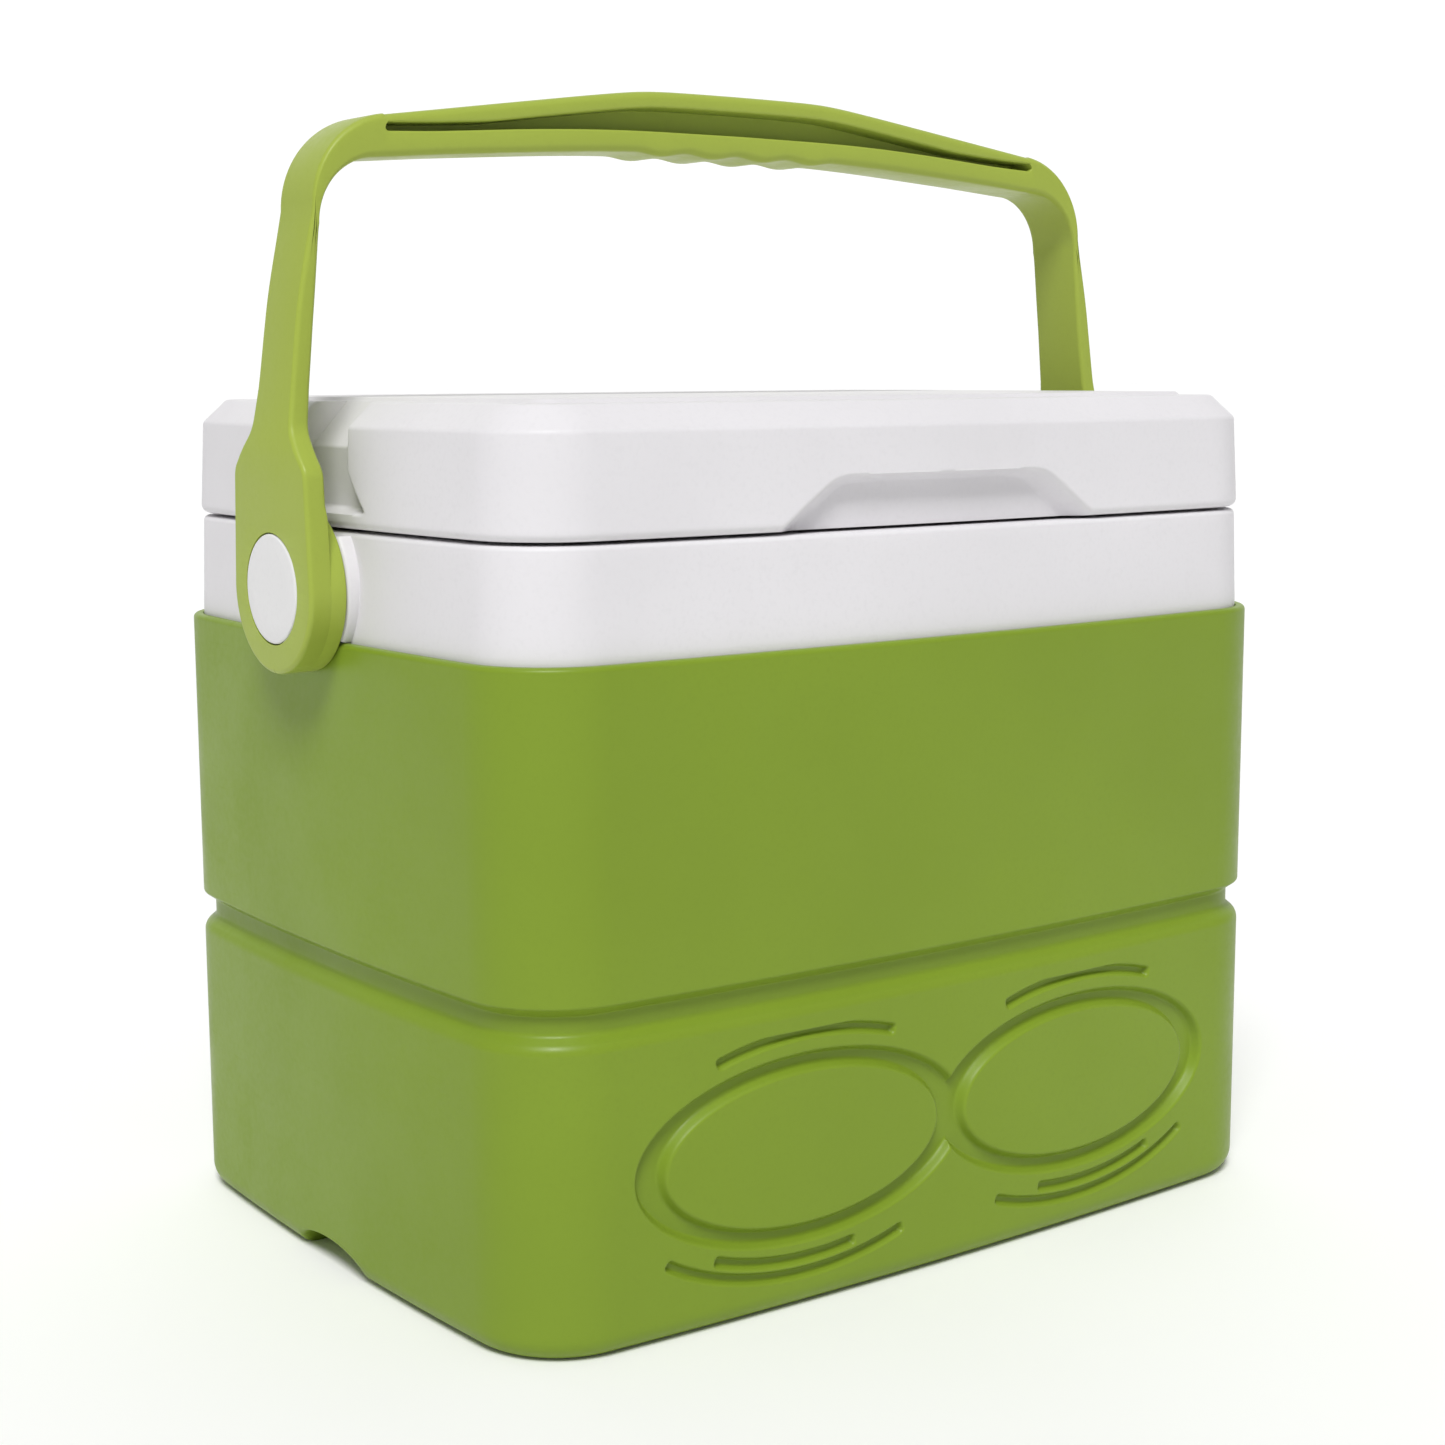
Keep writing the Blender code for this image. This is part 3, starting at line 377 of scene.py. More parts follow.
def seat_at_rear(rings, lowest, highest):
    """Flatten the wall at the rear behind each hinge, between two heights."""
    seat_y = HINGE_Y - SEAT_DEPTH
    for ring in rings:
        for i, (x, y, z) in enumerate(ring):
            if abs(abs(x) - HINGE_X) < SEAT_HALF and y > seat_y and lowest <= z <= highest:
                ring[i] = (x, seat_y, z)
    return rings


PAST_END = 200.0  # past the end of every side, so that its zone takes what is left
HINGE_ZONES = ((58.7, 8.0), (59.1, 0.4), (100.9, 3.0), (101.3, 0.4), (PAST_END, 6.0))  # edges of the seats
PLAIN_ZONES = ((PAST_END, 6.0),)


# ---------------------------------------------------------------- outer body


def oval_distance(x, z, semi_a, semi_b):
    """Distance from an oval's edge, negative inside."""
    u, v = np.abs(x) - OVAL_X, z - OVAL_Z
    near = np.hypot(u / semi_a, v / semi_b)
    slope = np.hypot(u / semi_a**2, v / semi_b**2)
    return near * (near - 1) / np.maximum(slope, 1e-6)


def slot_depth(x, z, semi_a, semi_b, start, stop):
    """Depth of one slot that follows an oval between two angles in degrees, with rounded ends."""
    u, v = OVAL_X - np.abs(x), z - OVAL_Z
    far = 1e3
    along = -far
    for degrees, turn in ((start, -1), (stop, 1)):
        a = math.radians(degrees)
        along_u, along_v = -semi_a * math.sin(a), semi_b * math.cos(a)
        past = (u - semi_a * math.cos(a)) * along_u + (v - semi_b * math.sin(a)) * along_v
        along = np.maximum(along, turn * past / math.hypot(along_u, along_v) + SLOT_EDGE)
    middle = math.radians((start + stop) / 2)
    same_side = u / semi_a * math.cos(middle) + v / semi_b * math.sin(middle) > 0
    along = np.where(same_side, along, far)
    across = np.abs(oval_distance(x, z, semi_a, semi_b)) - SLOT_WIDTH / 2 + SLOT_EDGE
    outside = np.hypot(np.maximum(across, 0), np.maximum(along, 0))
    distance = outside + np.minimum(np.maximum(across, along), 0) - SLOT_EDGE
    return SLOT_DEPTH * smooth((0.5 - distance) / SLOT_RAMP)


def relief(x, z):
    """How deep the front is pressed in by the ovals' channels and their slots."""
    outer = oval_distance(x, z, CHANNEL_A, CHANNEL_B)
    inner = oval_distance(x, z, ISLAND_A, ISLAND_B)
    depth = CHANNEL_DEPTH * smooth((0.4 - outer) / 2.4) * smooth((inner + 0.6) / 2.6)
    for slot in SLOTS:
        depth = np.maximum(depth, slot_depth(x, z, *slot))
    return depth


def body_warp(outline, insets, heights):
    """Press the relief into the front and lift an arched notch into the underside of both ends."""
    x, y, nx, ny = outline
    front = (ny < -0.9) & (np.abs(x) < RELIEF_X)
    outside = (insets < EDGE_RADIUS) & (heights < RELIEF_TOP) & (heights > RELIEF_LOW)
    insets = insets + relief(x + 0 * insets, heights) * (front & outside)
    arch = NOTCH_HEIGHT * np.maximum(0.0, 1 - (y / NOTCH_HALF_WIDTH) ** 2) ** 0.4 * (np.abs(nx) > 0.9)
    arch = arch * smooth((NOTCH_DEPTH + NOTCH_FADE - insets) / (1.5 * NOTCH_FADE))
    soft = np.minimum(1.6, arch / 2)
    raised = 0.5 * (arch + heights + np.sqrt((arch - heights) ** 2 + soft**2))
    return insets, np.where(arch > 0, raised, heights)


def outer_body():
    base = 30.0
    outside = [(base, 0.0, 0.0), (19.0, 0.0, 0.0)]
    outside += [(NOTCH_DEPTH + NOTCH_FADE - 0.3 * k, 0.0, 0.0) for k in range(7)] + [(15.2, 0.0, 0.0)]
    outside += [(0.0, 0.0, EDGE_RADIUS), (0.0, GROOVE_LOW + 2.2, 4.6), (GROOVE_DEPTH, 97.6, 2.2)]
    outside += [(GROOVE_DEPTH, 103.4, 1.4), (0.0, GROOVE_HIGH - 0.7, 1.2), (0.0, BODY_TOP, 2.2)]
    inside = [(WALL, BODY_TOP, 0.5), (WALL, SKIRT_Z, 0.0), (INNER_INSET, SKIRT_Z, 0.0)]
    inside += [(INNER_INSET, INNER_FLOOR, 0.0), (base, INNER_FLOOR, 0.0)]
    profile = rounded(outside + inside, steps=10)
    profile = refined(profile, RELIEF_LOW + 2, RELIEF_TOP + 2, ROW_STEP)
    profile = refined(profile, GROOVE_HIGH, BODY_TOP, 12.0)
    front = ((RELIEF_X, RELIEF_STEP), (PAST_END, 4.0))
    outline = stations(front, PLAIN_ZONES, ((NOTCH_HALF_WIDTH + 2, 0.8), (PAST_END, 6.0)))
    return shells("cool_box_body", [(wall_rings(outline, profile, body_warp), False)], sharp=80.0)


# ---------------------------------------------------------------- collar and tub


def ear_rings(side):
    """Round ear of the collar behind the handle's hub, cut off above the body's rim and at the seam."""
    start = math.asin((BODY_TOP + 0.3 - PIVOT_Z) / EAR_RADIUS)
    stop = math.asin((EAR_TOP - PIVOT_Z) / EAR_RADIUS)
    steps = 28
    right = []
    for i in range(steps + 1):
        a = start + (stop - start) * i / steps
        right.append((EAR_RADIUS * math.cos(a), PIVOT_Z + EAR_RADIUS * math.sin(a)))
    outline = right + [(-u, v) for u, v in reversed(right)]
    return slab(outline, EAR_IN, EAR_OUT, 1.4, lambda u, v, h: (side * h, u, v))


def collar():
    """Collar that stands in the body's rim and lies on the tub's flange, with its two ears."""
    profile = [(COLLAR_INNER, COLLAR_LOW.z, 0.0), (COLLAR_INSET, COLLAR_LOW.z, 0.0)]
    profile += [(COLLAR_INSET, 206.0, 8.0), (4.7, COLLAR_TOP, 1.7), (LEDGE_INSET, COLLAR_TOP, 0.8)]
    profile += [(LEDGE_INSET, FLANGE_Z, 0.0), (COLLAR_INNER, FLANGE_Z, 0.0)]
    outline = stations(PLAIN_ZONES, HINGE_ZONES, PLAIN_ZONES)
    rows = refined(rounded(profile), COLLAR_LOW.z, COLLAR_TOP, 4.0)
    rings = seat_at_rear(wall_rings(outline, rows), SEAT_LOW, SEAT_MIDDLE)
    return shells("cool_box_collar", [(rings, True), (ear_rings(-1), False), (ear_rings(1), False)])


def deep_outline(radius, inset, corner_steps=14):
    """Outline already moved in by inset, with its own corner radius, for walls well inside the body."""
    side_steps, end_steps = 44, 30
    return stations(side_steps, side_steps, end_steps, corner_steps, radius, inset)


def inner_rings(profile, radius=TUB_CORNER):
    """Rings that keep one corner radius at every inset."""
    rings = []
    for inset, z in profile:
        x, y, _, _ = deep_outline(radius, inset)
        rings.append([(px, py, z) for px, py in zip(x, y)])
    return rings


def tub():
    """Tub inside the foam, a little narrower at its floor."""
    top, under, inner = LINER_HIGH.z, TUB_FLOOR - TUB_WALL, TUB_INSET + TUB_WALL
    profile = [(CAP_INSET, under, 0.0), (TUB_INSET + TUB_DRAFT, under, 8.0), (TUB_INSET, top, 0.9)]
    profile += [(inner, top, 0.9), (inner + TUB_DRAFT, TUB_FLOOR, 11.0), (CAP_INSET, TUB_FLOOR, 0.0)]
    rows = refined(rounded(profile, steps=8), TUB_FLOOR, top, 20.0)
    return shells("tub", [(inner_rings(rows), False)])


# ---------------------------------------------------------------- lid


def end_half_width(z):
    """Half width of the end recess at each height."""
    places = [at for at, _ in END_RECESS]
    return np.interp(z, places, [half for _, half in END_RECESS])


def lid_warp(outline, insets, heights):
    """Press the finger recess into the front and a recess above each hub into the ends."""
    x, y, nx, ny = outline
    ceiling = (FINGER_TOP - heights) / FINGER_DROP
    half = FINGER_HALF + (FINGER_TOP - heights) * FINGER_SLOPE
    sides = (half - np.abs(x)) / FINGER_RUN
    nearer = 0.5 * (ceiling + sides - np.sqrt((ceiling - sides) ** 2 + 0.25))
    ramp = np.clip(nearer, 0.0, 1.0)
    ramp = ramp * ramp * (3 - 2 * ramp) * 0.6 + ramp * 0.4
    on_front = (ny < -0.9) & (insets < 12.0) & (heights < FINE_TOP)
    recessed = np.maximum(insets, LID_INSET + FINGER_DEPTH * ramp)
    pressed = insets + (recessed - insets) * smooth(ramp * 4)
    insets = np.where(on_front & (ramp > 0), pressed, insets)
    scoop = END_WALL_X + 0.5 - SCOOP_SLOPE * (heights - SCOOP_Z)
    target = np.where(heights <= SCOOP_Z, END_WALL_X, scoop)
    depth = (np.abs(x) - target) / np.maximum(np.abs(nx), 0.2)
    side = np.clip((end_half_width(heights) + 0.5 * RECESS_EDGE - np.abs(y)) / RECESS_EDGE, 0.0, 1.0)
    shelf = np.clip((heights - LEDGE_Z + 0.6) / 1.6, 0.0, 1.0)
    mask = (1 - np.sqrt(1 - side**2)) * smooth(shelf) * (np.abs(nx) > 0.9)
    on_end = (insets < LIP_INSET - 0.2) & (depth > insets)
    return np.where(on_end, insets + (depth - insets) * mask, insets), heights


def lid():
    """Lid shell from its lip over the seal's channel, up the outside and on to the raised panel."""
    rim = LID_TOP - PANEL_RISE
    channel_near, channel_far = SEAL_NEAR - SEAL_PLAY, SEAL_FAR + SEAL_PLAY
    profile = [(LIP_INSET, 244.5, 0.0), (LIP_INSET, LID_BOTTOM, 0.4), (channel_far, LID_BOTTOM, 0.0)]
    profile += [(channel_far, CHANNEL_TOP, 0.0), (channel_near, CHANNEL_TOP, 0.0)]
    profile += [(channel_near, LID_BOTTOM, 0.0), (14.0, LID_BOTTOM, 0.0), (3.9, LID_BOTTOM, 2.6)]
    profile += [(5.5, 269.2, 2.2), (13.6, rim, 2.6), (24.2, rim, 0.5), (25.6, LID_TOP, 1.0)]
    profile += [(28.0, LID_TOP, 0.0)]
    rows = refined(rounded(profile), LID_BOTTOM + 0.2, FINE_TOP, 0.6)
    rows = refined(rows, FINE_TOP, rim, 1.0)
    front = ((30.0, 2.0), (72.0, 0.8), (PAST_END, 5.0))
    ends = ((10.0, 2.0), (34.0, 0.4), (PAST_END, 6.0))
    rings = wall_rings(stations(front, HINGE_ZONES, ends), rows, lid_warp)
    seat_at_rear(rings, LID_BOTTOM - 1, SEAT_TOP)
    return shells("cool_box_lid", [(rings, False)], sharp=70.0)


def lid_plug():
    """Plug under the lid, which fills the tub's mouth, with a shallow field in its underside."""
    low, high = PLUG_LOW.z, PLUG_HIGH.z
    field, flange, flange_low = low + 1.6, 20.2, 242.0
    profile = [(CAP_INSET, field, 0.0), (41.0, field, 0.8), (38.5, low, 0.8), (PLUG_INSET + 1.2, low, 3.0)]
    profile += [(PLUG_INSET, flange_low, 0.0), (flange, flange_low, 0.0), (flange, high, 0.0)]
    profile += [(CAP_INSET, high, 0.0)]
    return shells("lid_plug", [(inner_rings(refined(rounded(profile), low, high, 6.0)), False)])


def lid_seal():
    low, high = SEAL_LOW.z, SEAL_HIGH.z
    profile = [(SEAL_FAR, low, 0.9), (SEAL_NEAR, low, 0.9), (SEAL_NEAR, high, 0.3), (SEAL_FAR, high, 0.3)]
    outline = stations(PLAIN_ZONES, PLAIN_ZONES, PLAIN_ZONES)
    return shells("lid_seal", [(wall_rings(outline, rounded(profile, 4, closed=True)), True)])


# ---------------------------------------------------------------- handle


def top_z(x):
    """Top of the bail: flat in the middle, then falling away evenly, with a soft bend between."""
    past = abs(x) - TOP_FLAT
    return FRAME_HIGH.z - TOP_SLOPE * 0.5 * (past + math.hypot(past, 10.0)) + 0.07


def under_z(x):
    """Underside of the grip, an arch with four finger bumps."""
    z = curve_at(GRIP_UNDER, abs(x))
    if abs(x) < 2 * BUMP_LENGTH:
        z -= BUMP_HEIGHT * (1 + math.cos(2 * math.pi * (abs(x) - BUMP_LENGTH / 2) / BUMP_LENGTH))
    return z


def pocket_span(x):
    """Lowest and highest point of the pocket at x. It closes in a round end."""
    low = curve_at(POCKET_FLOOR, abs(x))
    high = max(top_z(x) - POCKET_RIM, low + POCKET_TIP)
    half = (high - low) / 2
    past = min(max((abs(x) - (POCKET_END - half)) / half, 0.0), 1.0)
    middle = (low + high) / 2
    half *= math.sqrt(1 - past * past)
    return middle - half, middle + half


def closed_pocket(middle):
    """Edges and depth of a pocket that has closed to a line in the flat side."""
    return middle - 0.4, middle + 0.4, 0.0


def section(place, half, thick, normal_y, bevels, pocket=None):
    """One ring of the bail. place(t, e) is x, z at t from the inner face, moved in by e from the side.

    bevels are the edge radii at the inner and the outer face.
    """
    inner, outer = (min(bevel, 0.42 * thick) for bevel in bevels)
    steps, lip_steps = 6, 3
    low, high, depth = pocket or closed_pocket(0.5 * thick)
    lip = POCKET_LIP if depth > 0 else 0.1
    side = []
    for k in range(steps + 1):
        a = math.pi / 2 * k / steps
        side.append((inner * (1 - math.cos(a)), inner * (1 - math.sin(a))))
    for k in range(lip_steps + 1):
        a = math.pi / 2 * k / lip_steps
        side.append((low - lip * (1 - math.sin(a)), min(lip, depth) * (1 - math.cos(a))))
    side += [(low + 0.25, depth), (high - 0.25, depth)]
    for k in range(lip_steps + 1):
        a = math.pi / 2 * (1 - k / lip_steps)
        side.append((high + lip * (1 - math.sin(a)), min(lip, depth) * (1 - math.cos(a))))
    for k in range(steps, -1, -1):
        a = math.pi / 2 * k / steps
        side.append((thick - outer * (1 - math.cos(a)), outer * (1 - math.sin(a))))
    right = [(*place(t, e), half - e * normal_y) for t, e in side]
    return [(x, y, z) for x, z, y in right] + [(x, -y, z) for x, z, y in reversed(right)]


def arm_sections():
    """Sections of the right-hand hub plate and arm, from the bottom of the hub up.

    The plate's inner edge stays sharp as far up as the drum reaches, so that the two meet flush.
    """
    path = []
    for step in range(23):
        a = math.radians(0.4 + 4.0 * step)
        path.append((HUB_RADIUS * math.sin(a), PIVOT_Z - HUB_RADIUS * math.cos(a)))
    arm = [(HUB_RADIUS, PIVOT_Z, 0.0), (24.2, 256.5, 7.0), (13.2, 268.7, 9.0), (12.0, 281.0, 0.0)]
    arm += [(GRIP_HALF_DEPTH, 300.0, 0.0), (GRIP_HALF_DEPTH, 332.0, 0.0)]
    path += refined(rounded(arm, steps=7), PIVOT_Z, 332.0, 4.0)
    rings = []
    for i in range(len(path) - 1):
        half, z = path[i]
        before = path[max(i - 1, 0)]
        tangent = Vector(path[i + 1]) - Vector(before)
        tangent.normalize()
        ny, nz = tangent.y, -tangent.x

        def place(t, e, z=z, nz=nz):
            height = z - e * nz
            out_x = PLATE_OUT if height < ARM_OUT[0][0] else curve_at(ARM_OUT, height)
            in_x = PLATE_IN if height < ARM_IN[0][0] else curve_at(ARM_IN, min(height, ARM_IN[-1][0]))
            return in_x + (out_x - in_x) * t, min(height, ARM_IN[-1][0] + 5.5 * t)

        thick = place(1.0, 0.0)[0] - place(0.0, 0.0)[0]
        if z < ARM_IN[-1][0]:
            bevels = (0.05 if z < PIVOT_Z + HUB_RADIUS - 1.0 else ARM_BEVEL, ARM_BEVEL)
            rings.append(section(lambda t, e, p=place, k=thick: p(t / k, e), half, thick, ny, bevels))
    return rings


def grip_sections():
    """Sections of the right-hand corner and half of the grip, from the arm to the middle."""
    pairs = []
    ox, oz, o_radius = CORNER_OUT
    ix, iz, i_radius = CORNER_IN
    corner_steps, slope_steps = 22, 36
    for i in range(corner_steps + 1):
        a = math.radians(CORNER_SWEEP * i / corner_steps)
        out = (ox + o_radius * math.cos(a), oz + o_radius * math.sin(a))
        pairs.append((out, (ix + i_radius * math.cos(a), iz + i_radius * math.sin(a))))
    out_end, in_end = pairs[-1][0][0], pairs[-1][1][0]
    straight = 112.0
    for i in range(1, slope_steps + 1):
        s = i / slope_steps
        xo, xi = out_end + (straight - out_end) * s, in_end + (straight - in_end) * s
        pairs.append(((xo, top_z(xo)), (xi, under_z(xi))))
    for x in spread(straight, ((46.0, 1.5), (straight, 4.0)))[::-1]:
        if 0.0 <= x < straight:
            pairs.append(((x, top_z(x)), (x, under_z(x))))
    rings = []
    for (ox, oz), (ix, iz) in pairs:
        thick = math.hypot(ox - ix, oz - iz)

        def place(t, e, ox=ox, oz=oz, ix=ix, iz=iz, thick=thick):
            s = t / thick
            return ix + (ox - ix) * s, iz + (oz - iz) * s

        bevel = ARM_BEVEL + (GRIP_BEVEL - ARM_BEVEL) * min(1.0, len(rings) / corner_steps)
        pocket = pocket_on(place, thick, iz, oz)
        rings.append(section(place, GRIP_HALF_DEPTH, thick, 1.0, (bevel, bevel), pocket))
    return rings


END_GRIP = (under_z(POCKET_END), top_z(POCKET_END))  # underside and top of the grip where the pocket ends


def pocket_on(place, thick, inner_z, outer_z):
    """Where the pocket crosses one section: its two edges and its depth. Past its ends it is closed."""
    edges = []
    for which in (0, 1):
        t = thick / 2
        for _ in range(6):
            t = (pocket_span(place(t, 0.0)[0])[which] - inner_z) / (outer_z - inner_z) * thick
        edges.append(t)
    x = place((edges[0] + edges[1]) / 2, 0.0)[0]
    if x >= POCKET_END or edges[1] - edges[0] < POCKET_LIP:
        under, top = END_GRIP
        return closed_pocket((sum(pocket_span(POCKET_END)) / 2 - under) / (top - under) * thick)
    return edges[0], edges[1], GRIP_HALF_DEPTH - POCKET_WEB


def mirrored(ring):
    return [(-x, y, z) for x, y, z in ring]


def bored(bail):
    """Vertices and faces of the bail after the cap's seat is cut into both of its plates."""
    radius = CAP_RADIUS + 0.35
    seats = []
    for side in (-1, 1):
        profile = [(side * BORE_START, radius), (side * 190.0, radius)]
        seats.append((turned("X", profile, (0, 0, PIVOT_Z)), False))
    cutter = shells("bail_bores", seats)
    modifier = bail.modifiers.new("bores", "BOOLEAN")
    modifier.operation = "DIFFERENCE"
    modifier.solver = "EXACT"
    modifier.object = cutter
    graph = bpy.context.evaluated_depsgraph_get()
    mesh = bpy.data.meshes.new_from_object(bail.evaluated_get(graph))
    for obj in (bail, cutter):
        bpy.data.objects.remove(obj)
    return [tuple(v.co / MM) for v in mesh.vertices], [tuple(p.vertices) for p in mesh.polygons]


def handle():
    """Bail with its grip, arms and plates, and a drum behind each plate."""
    right = arm_sections() + grip_sections()
    rings = right + [mirrored(ring) for ring in reversed(right[:-1])]
    vertices, faces = bored(shells("bail_body", [(rings, False)]))
    drum_out, drum_radius = PLATE_IN + 0.3, HUB_RADIUS - 0.02
    drum = [(HUB_IN, DRUM_BORE, 0.3), (HUB_IN, drum_radius, 0.8)]
    drum += [(drum_out, drum_radius, 0.0), (drum_out, DRUM_BORE, 0.3)]
    for side in (-1, 1):
        profile = [(side * u, v) for u, v in rounded(drum, 5, closed=True)]
        rings = turned("X", profile, (0, 0, PIVOT_Z), 96)
        own = skin(rings, True, len(vertices))
        vertices += [v for ring in rings for v in ring]
        faces += own if side > 0 else [tuple(reversed(face)) for face in own]
    return make_mesh("bail_handle", vertices, faces, sharp=35.0)


def pivot_cap(side):
    """Domed cap over the pivot, with a rounded rim and a face that rises slightly towards its flat middle.
    """
    low, high = 170.0, CAP_HIGH.x
    profile = [(low, 0.4, 0.0), (low, CAP_RADIUS, 0.4), (high - 0.3, CAP_RADIUS, 0.9), (high, 12.0, 8.0)]
    profile += [(high, 0.4, 0.0)]
    rings = turned("X", [(side * u, v) for u, v in rounded(profile, 5)], (0, 0, PIVOT_Z), 96)
    return shells("pivot_cap_" + ("right" if side > 0 else "left"), [(rings, False)])


# ---------------------------------------------------------------- rear hinges


def hinge_plate(name, centre_x, low, high, spans):
    """Hinge plate with rounded corners and the knuckles it carries over the given spans."""
    back, half, corner = HINGE_Y - KNUCKLE_RADIUS, LEAF_HALF, 3.0
    corners = [(-half, low, corner), (half, low, corner), (half, high, corner), (-half, high, corner)]
    outline = [(centre_x + u, v) for u, v in rounded(corners, 6, closed=True)]
    parts = [(slab(outline, back, back + LEAF_THICKNESS, 0.6, lambda u, v, h: (u, h, v)), False)]
    toward = 1 if low > HINGE_Z else -1
    near = low if toward > 0 else high
    for start, stop in spans:
        profile = [(start, PIN_BORE, 0.0), (start, KNUCKLE_RADIUS, 0.5)]
        profile += [(stop, KNUCKLE_RADIUS, 0.5), (stop, PIN_BORE, 0.0)]
        centre = (centre_x, HINGE_Y, HINGE_Z)
        parts.append((turned("X", rounded(profile, 4), centre, 40), True))
        web_low, web_high = sorted((HINGE_Z + toward * 0.8, near + toward * 1.5))
        web = [(centre_x + start + 0.2, web_low), (centre_x + stop - 0.2, web_low)]
        web += [(centre_x + stop - 0.2, web_high), (centre_x + start + 0.2, web_high)]
        web_rings = slab(web, back + 0.1, back + LEAF_THICKNESS - 0.1, 0.3, lambda u, v, h: (u, h, v))
        parts.append((web_rings, False))
    return shells(name, parts)


def screw_head(name, x, z):
    """Pan-head screw with a cross recess, seen from the rear."""
    steps, rings = 48, []
    profile = rounded([(117.0, 2.95, 0.0), (118.2, 2.95, 0.7), (119.1, 1.2, 3.0), (119.2, 0.2, 0.0)], 5)
    extra = [(119.15 - 0.002 * k, 2.3 - 0.15 * k) for k in range(1, 14)]
    head = [p for p in profile if p[1] > 2.35] + extra
    for along, radius in head:
        ring = []
        for i in range(steps):
            a = 2 * math.pi * i / steps
            u, v = radius * math.cos(a), radius * math.sin(a)
            arm = min(abs(u), abs(v))
            sunk = float(smooth((0.55 - arm) / 0.25) * smooth((1.9 - radius) / 0.3))
            ring.append((x + u, along - 0.9 * sunk, z + v))
        rings.append(ring)
    return shells(name, [(rings, False)], sharp=50.0)


# ---------------------------------------------------------------- materials


class Nodes:
    """Short hand for building one material's node tree."""

    def __init__(self, name):
        self.material = bpy.data.materials.new(name)
        self.material.use_nodes = True
        self.tree = self.material.node_tree
        self.shader = self.tree.nodes["Principled BSDF"]
        self.place = self.add("ShaderNodeTexCoord").outputs["Object"]

    def add(self, kind, links=(), **values):
        """New node. links are (input, socket) pairs and values set its properties."""
        node = self.tree.nodes.new(kind)
        for key, value in values.items():
            setattr(node, key, value)
        for key, source in links:
            if isinstance(source, bpy.types.NodeSocket):
                self.tree.links.new(source, node.inputs[key])
            else:
                node.inputs[key].default_value = source
        return node

    def noise(self, scale, detail=3.0, roughness=0.5, place=None):
        links = [("Vector", place or self.place), ("Scale", scale)]
        links += [("Detail", detail), ("Roughness", roughness)]
        return self.add("ShaderNodeTexNoise", links).outputs["Fac"]

    def spread(self, source, low, high, start=0.35, stop=0.65):
        """Map a noise value from start..stop to low..high."""
        links = [("Value", source), ("From Min", start), ("From Max", stop)]
        links += [("To Min", low), ("To Max", high)]
        return self.add("ShaderNodeMapRange", links).outputs["Result"]

    def maths(self, operation, a, b):
        return self.add("ShaderNodeMath", [(0, a), (1, b)], operation=operation).outputs[0]

    def mix(self, factor, a, b, blend="MIX"):
        node = self.add("ShaderNodeMix", data_type="RGBA", blend_type=blend)
        for socket, value in ((node.inputs[0], factor), (node.inputs[6], a), (node.inputs[7], b)):
            if isinstance(value, bpy.types.NodeSocket):
                self.tree.links.new(value, socket)
            else:
                socket.default_value = value
        return node.outputs[2]

    def bump(self, height, strength, distance_mm, under=None):
        links = [("Height", height), ("Strength", strength), ("Distance", distance_mm * MM)]
        if under is not None:
            links.append(("Normal", under))
        return self.add("ShaderNodeBump", links).outputs["Normal"]

    def plug(self, **sockets):
        """Join or set the shader's sockets. Underscores stand for spaces."""
        for key, value in sockets.items():
            socket = self.shader.inputs[key.replace("_", " ")]
            if isinstance(value, bpy.types.NodeSocket):
                self.tree.links.new(value, socket)
            else:
                socket.default_value = value


def scaled(colour, factor):
    return (*(min(1.0, c * factor) for c in colour[:3]), 1.0)


def moulded_plastic(name, colour, roughness, grain_mm=0.02, highlight_tint=1.12):
    """Satin moulding: faint flow mottling, fine eroded grain, handling scuffs and a painted highlight on
    the edges.
    """
    n = Nodes(name)
    mottling = n.spread(n.noise(9.0, 4.0), 0.0, 1.0)
    base = n.mix(mottling, scaled(colour, 0.965), scaled(colour, 1.03))
    specks = n.spread(n.noise(650.0, 2.0), 0.0, 0.35, 0.5, 0.75)
    base = n.mix(specks, base, scaled(colour, 0.93))
    # Painted highlight: sharp convex edges are turned paler, in patches, as if they caught the light.
    pointiness = n.add("ShaderNodeNewGeometry").outputs["Pointiness"]
    edges = n.spread(pointiness, 0.0, 1.0, 0.515, 0.56)
    edge_highlight = n.maths("MULTIPLY", edges, n.spread(n.noise(60.0, 4.0), 0.25, 0.8))
    base = n.mix(edge_highlight, base, scaled(colour, highlight_tint))
    smears = n.spread(n.noise(28.0, 5.0, 0.6), -0.05, 0.07)
    fine = n.spread(n.noise(420.0, 3.0), -0.03, 0.03)
    rough = n.maths("ADD", n.maths("ADD", smears, fine), roughness)
    mapping = n.add("ShaderNodeMapping", [("Vector", n.place), ("Scale", (35.0, 35.0, 900.0))])
    scuffs = n.spread(n.noise(1.0, 2.0, 0.5, mapping.outputs["Vector"]), 0.0, 1.0, 0.68, 0.78)
    rough = n.maths("ADD", rough, n.maths("MULTIPLY", scuffs, 0.06))
    grain = n.bump(n.noise(1500.0, 2.0, 0.6), 0.35, grain_mm)
    waves = n.bump(n.noise(14.0, 2.0), 0.25, 0.35, grain)
    n.plug(Base_Color=base, Roughness=rough, Normal=waves, IOR=1.49, Specular_IOR_Level=0.24)
    return n.material


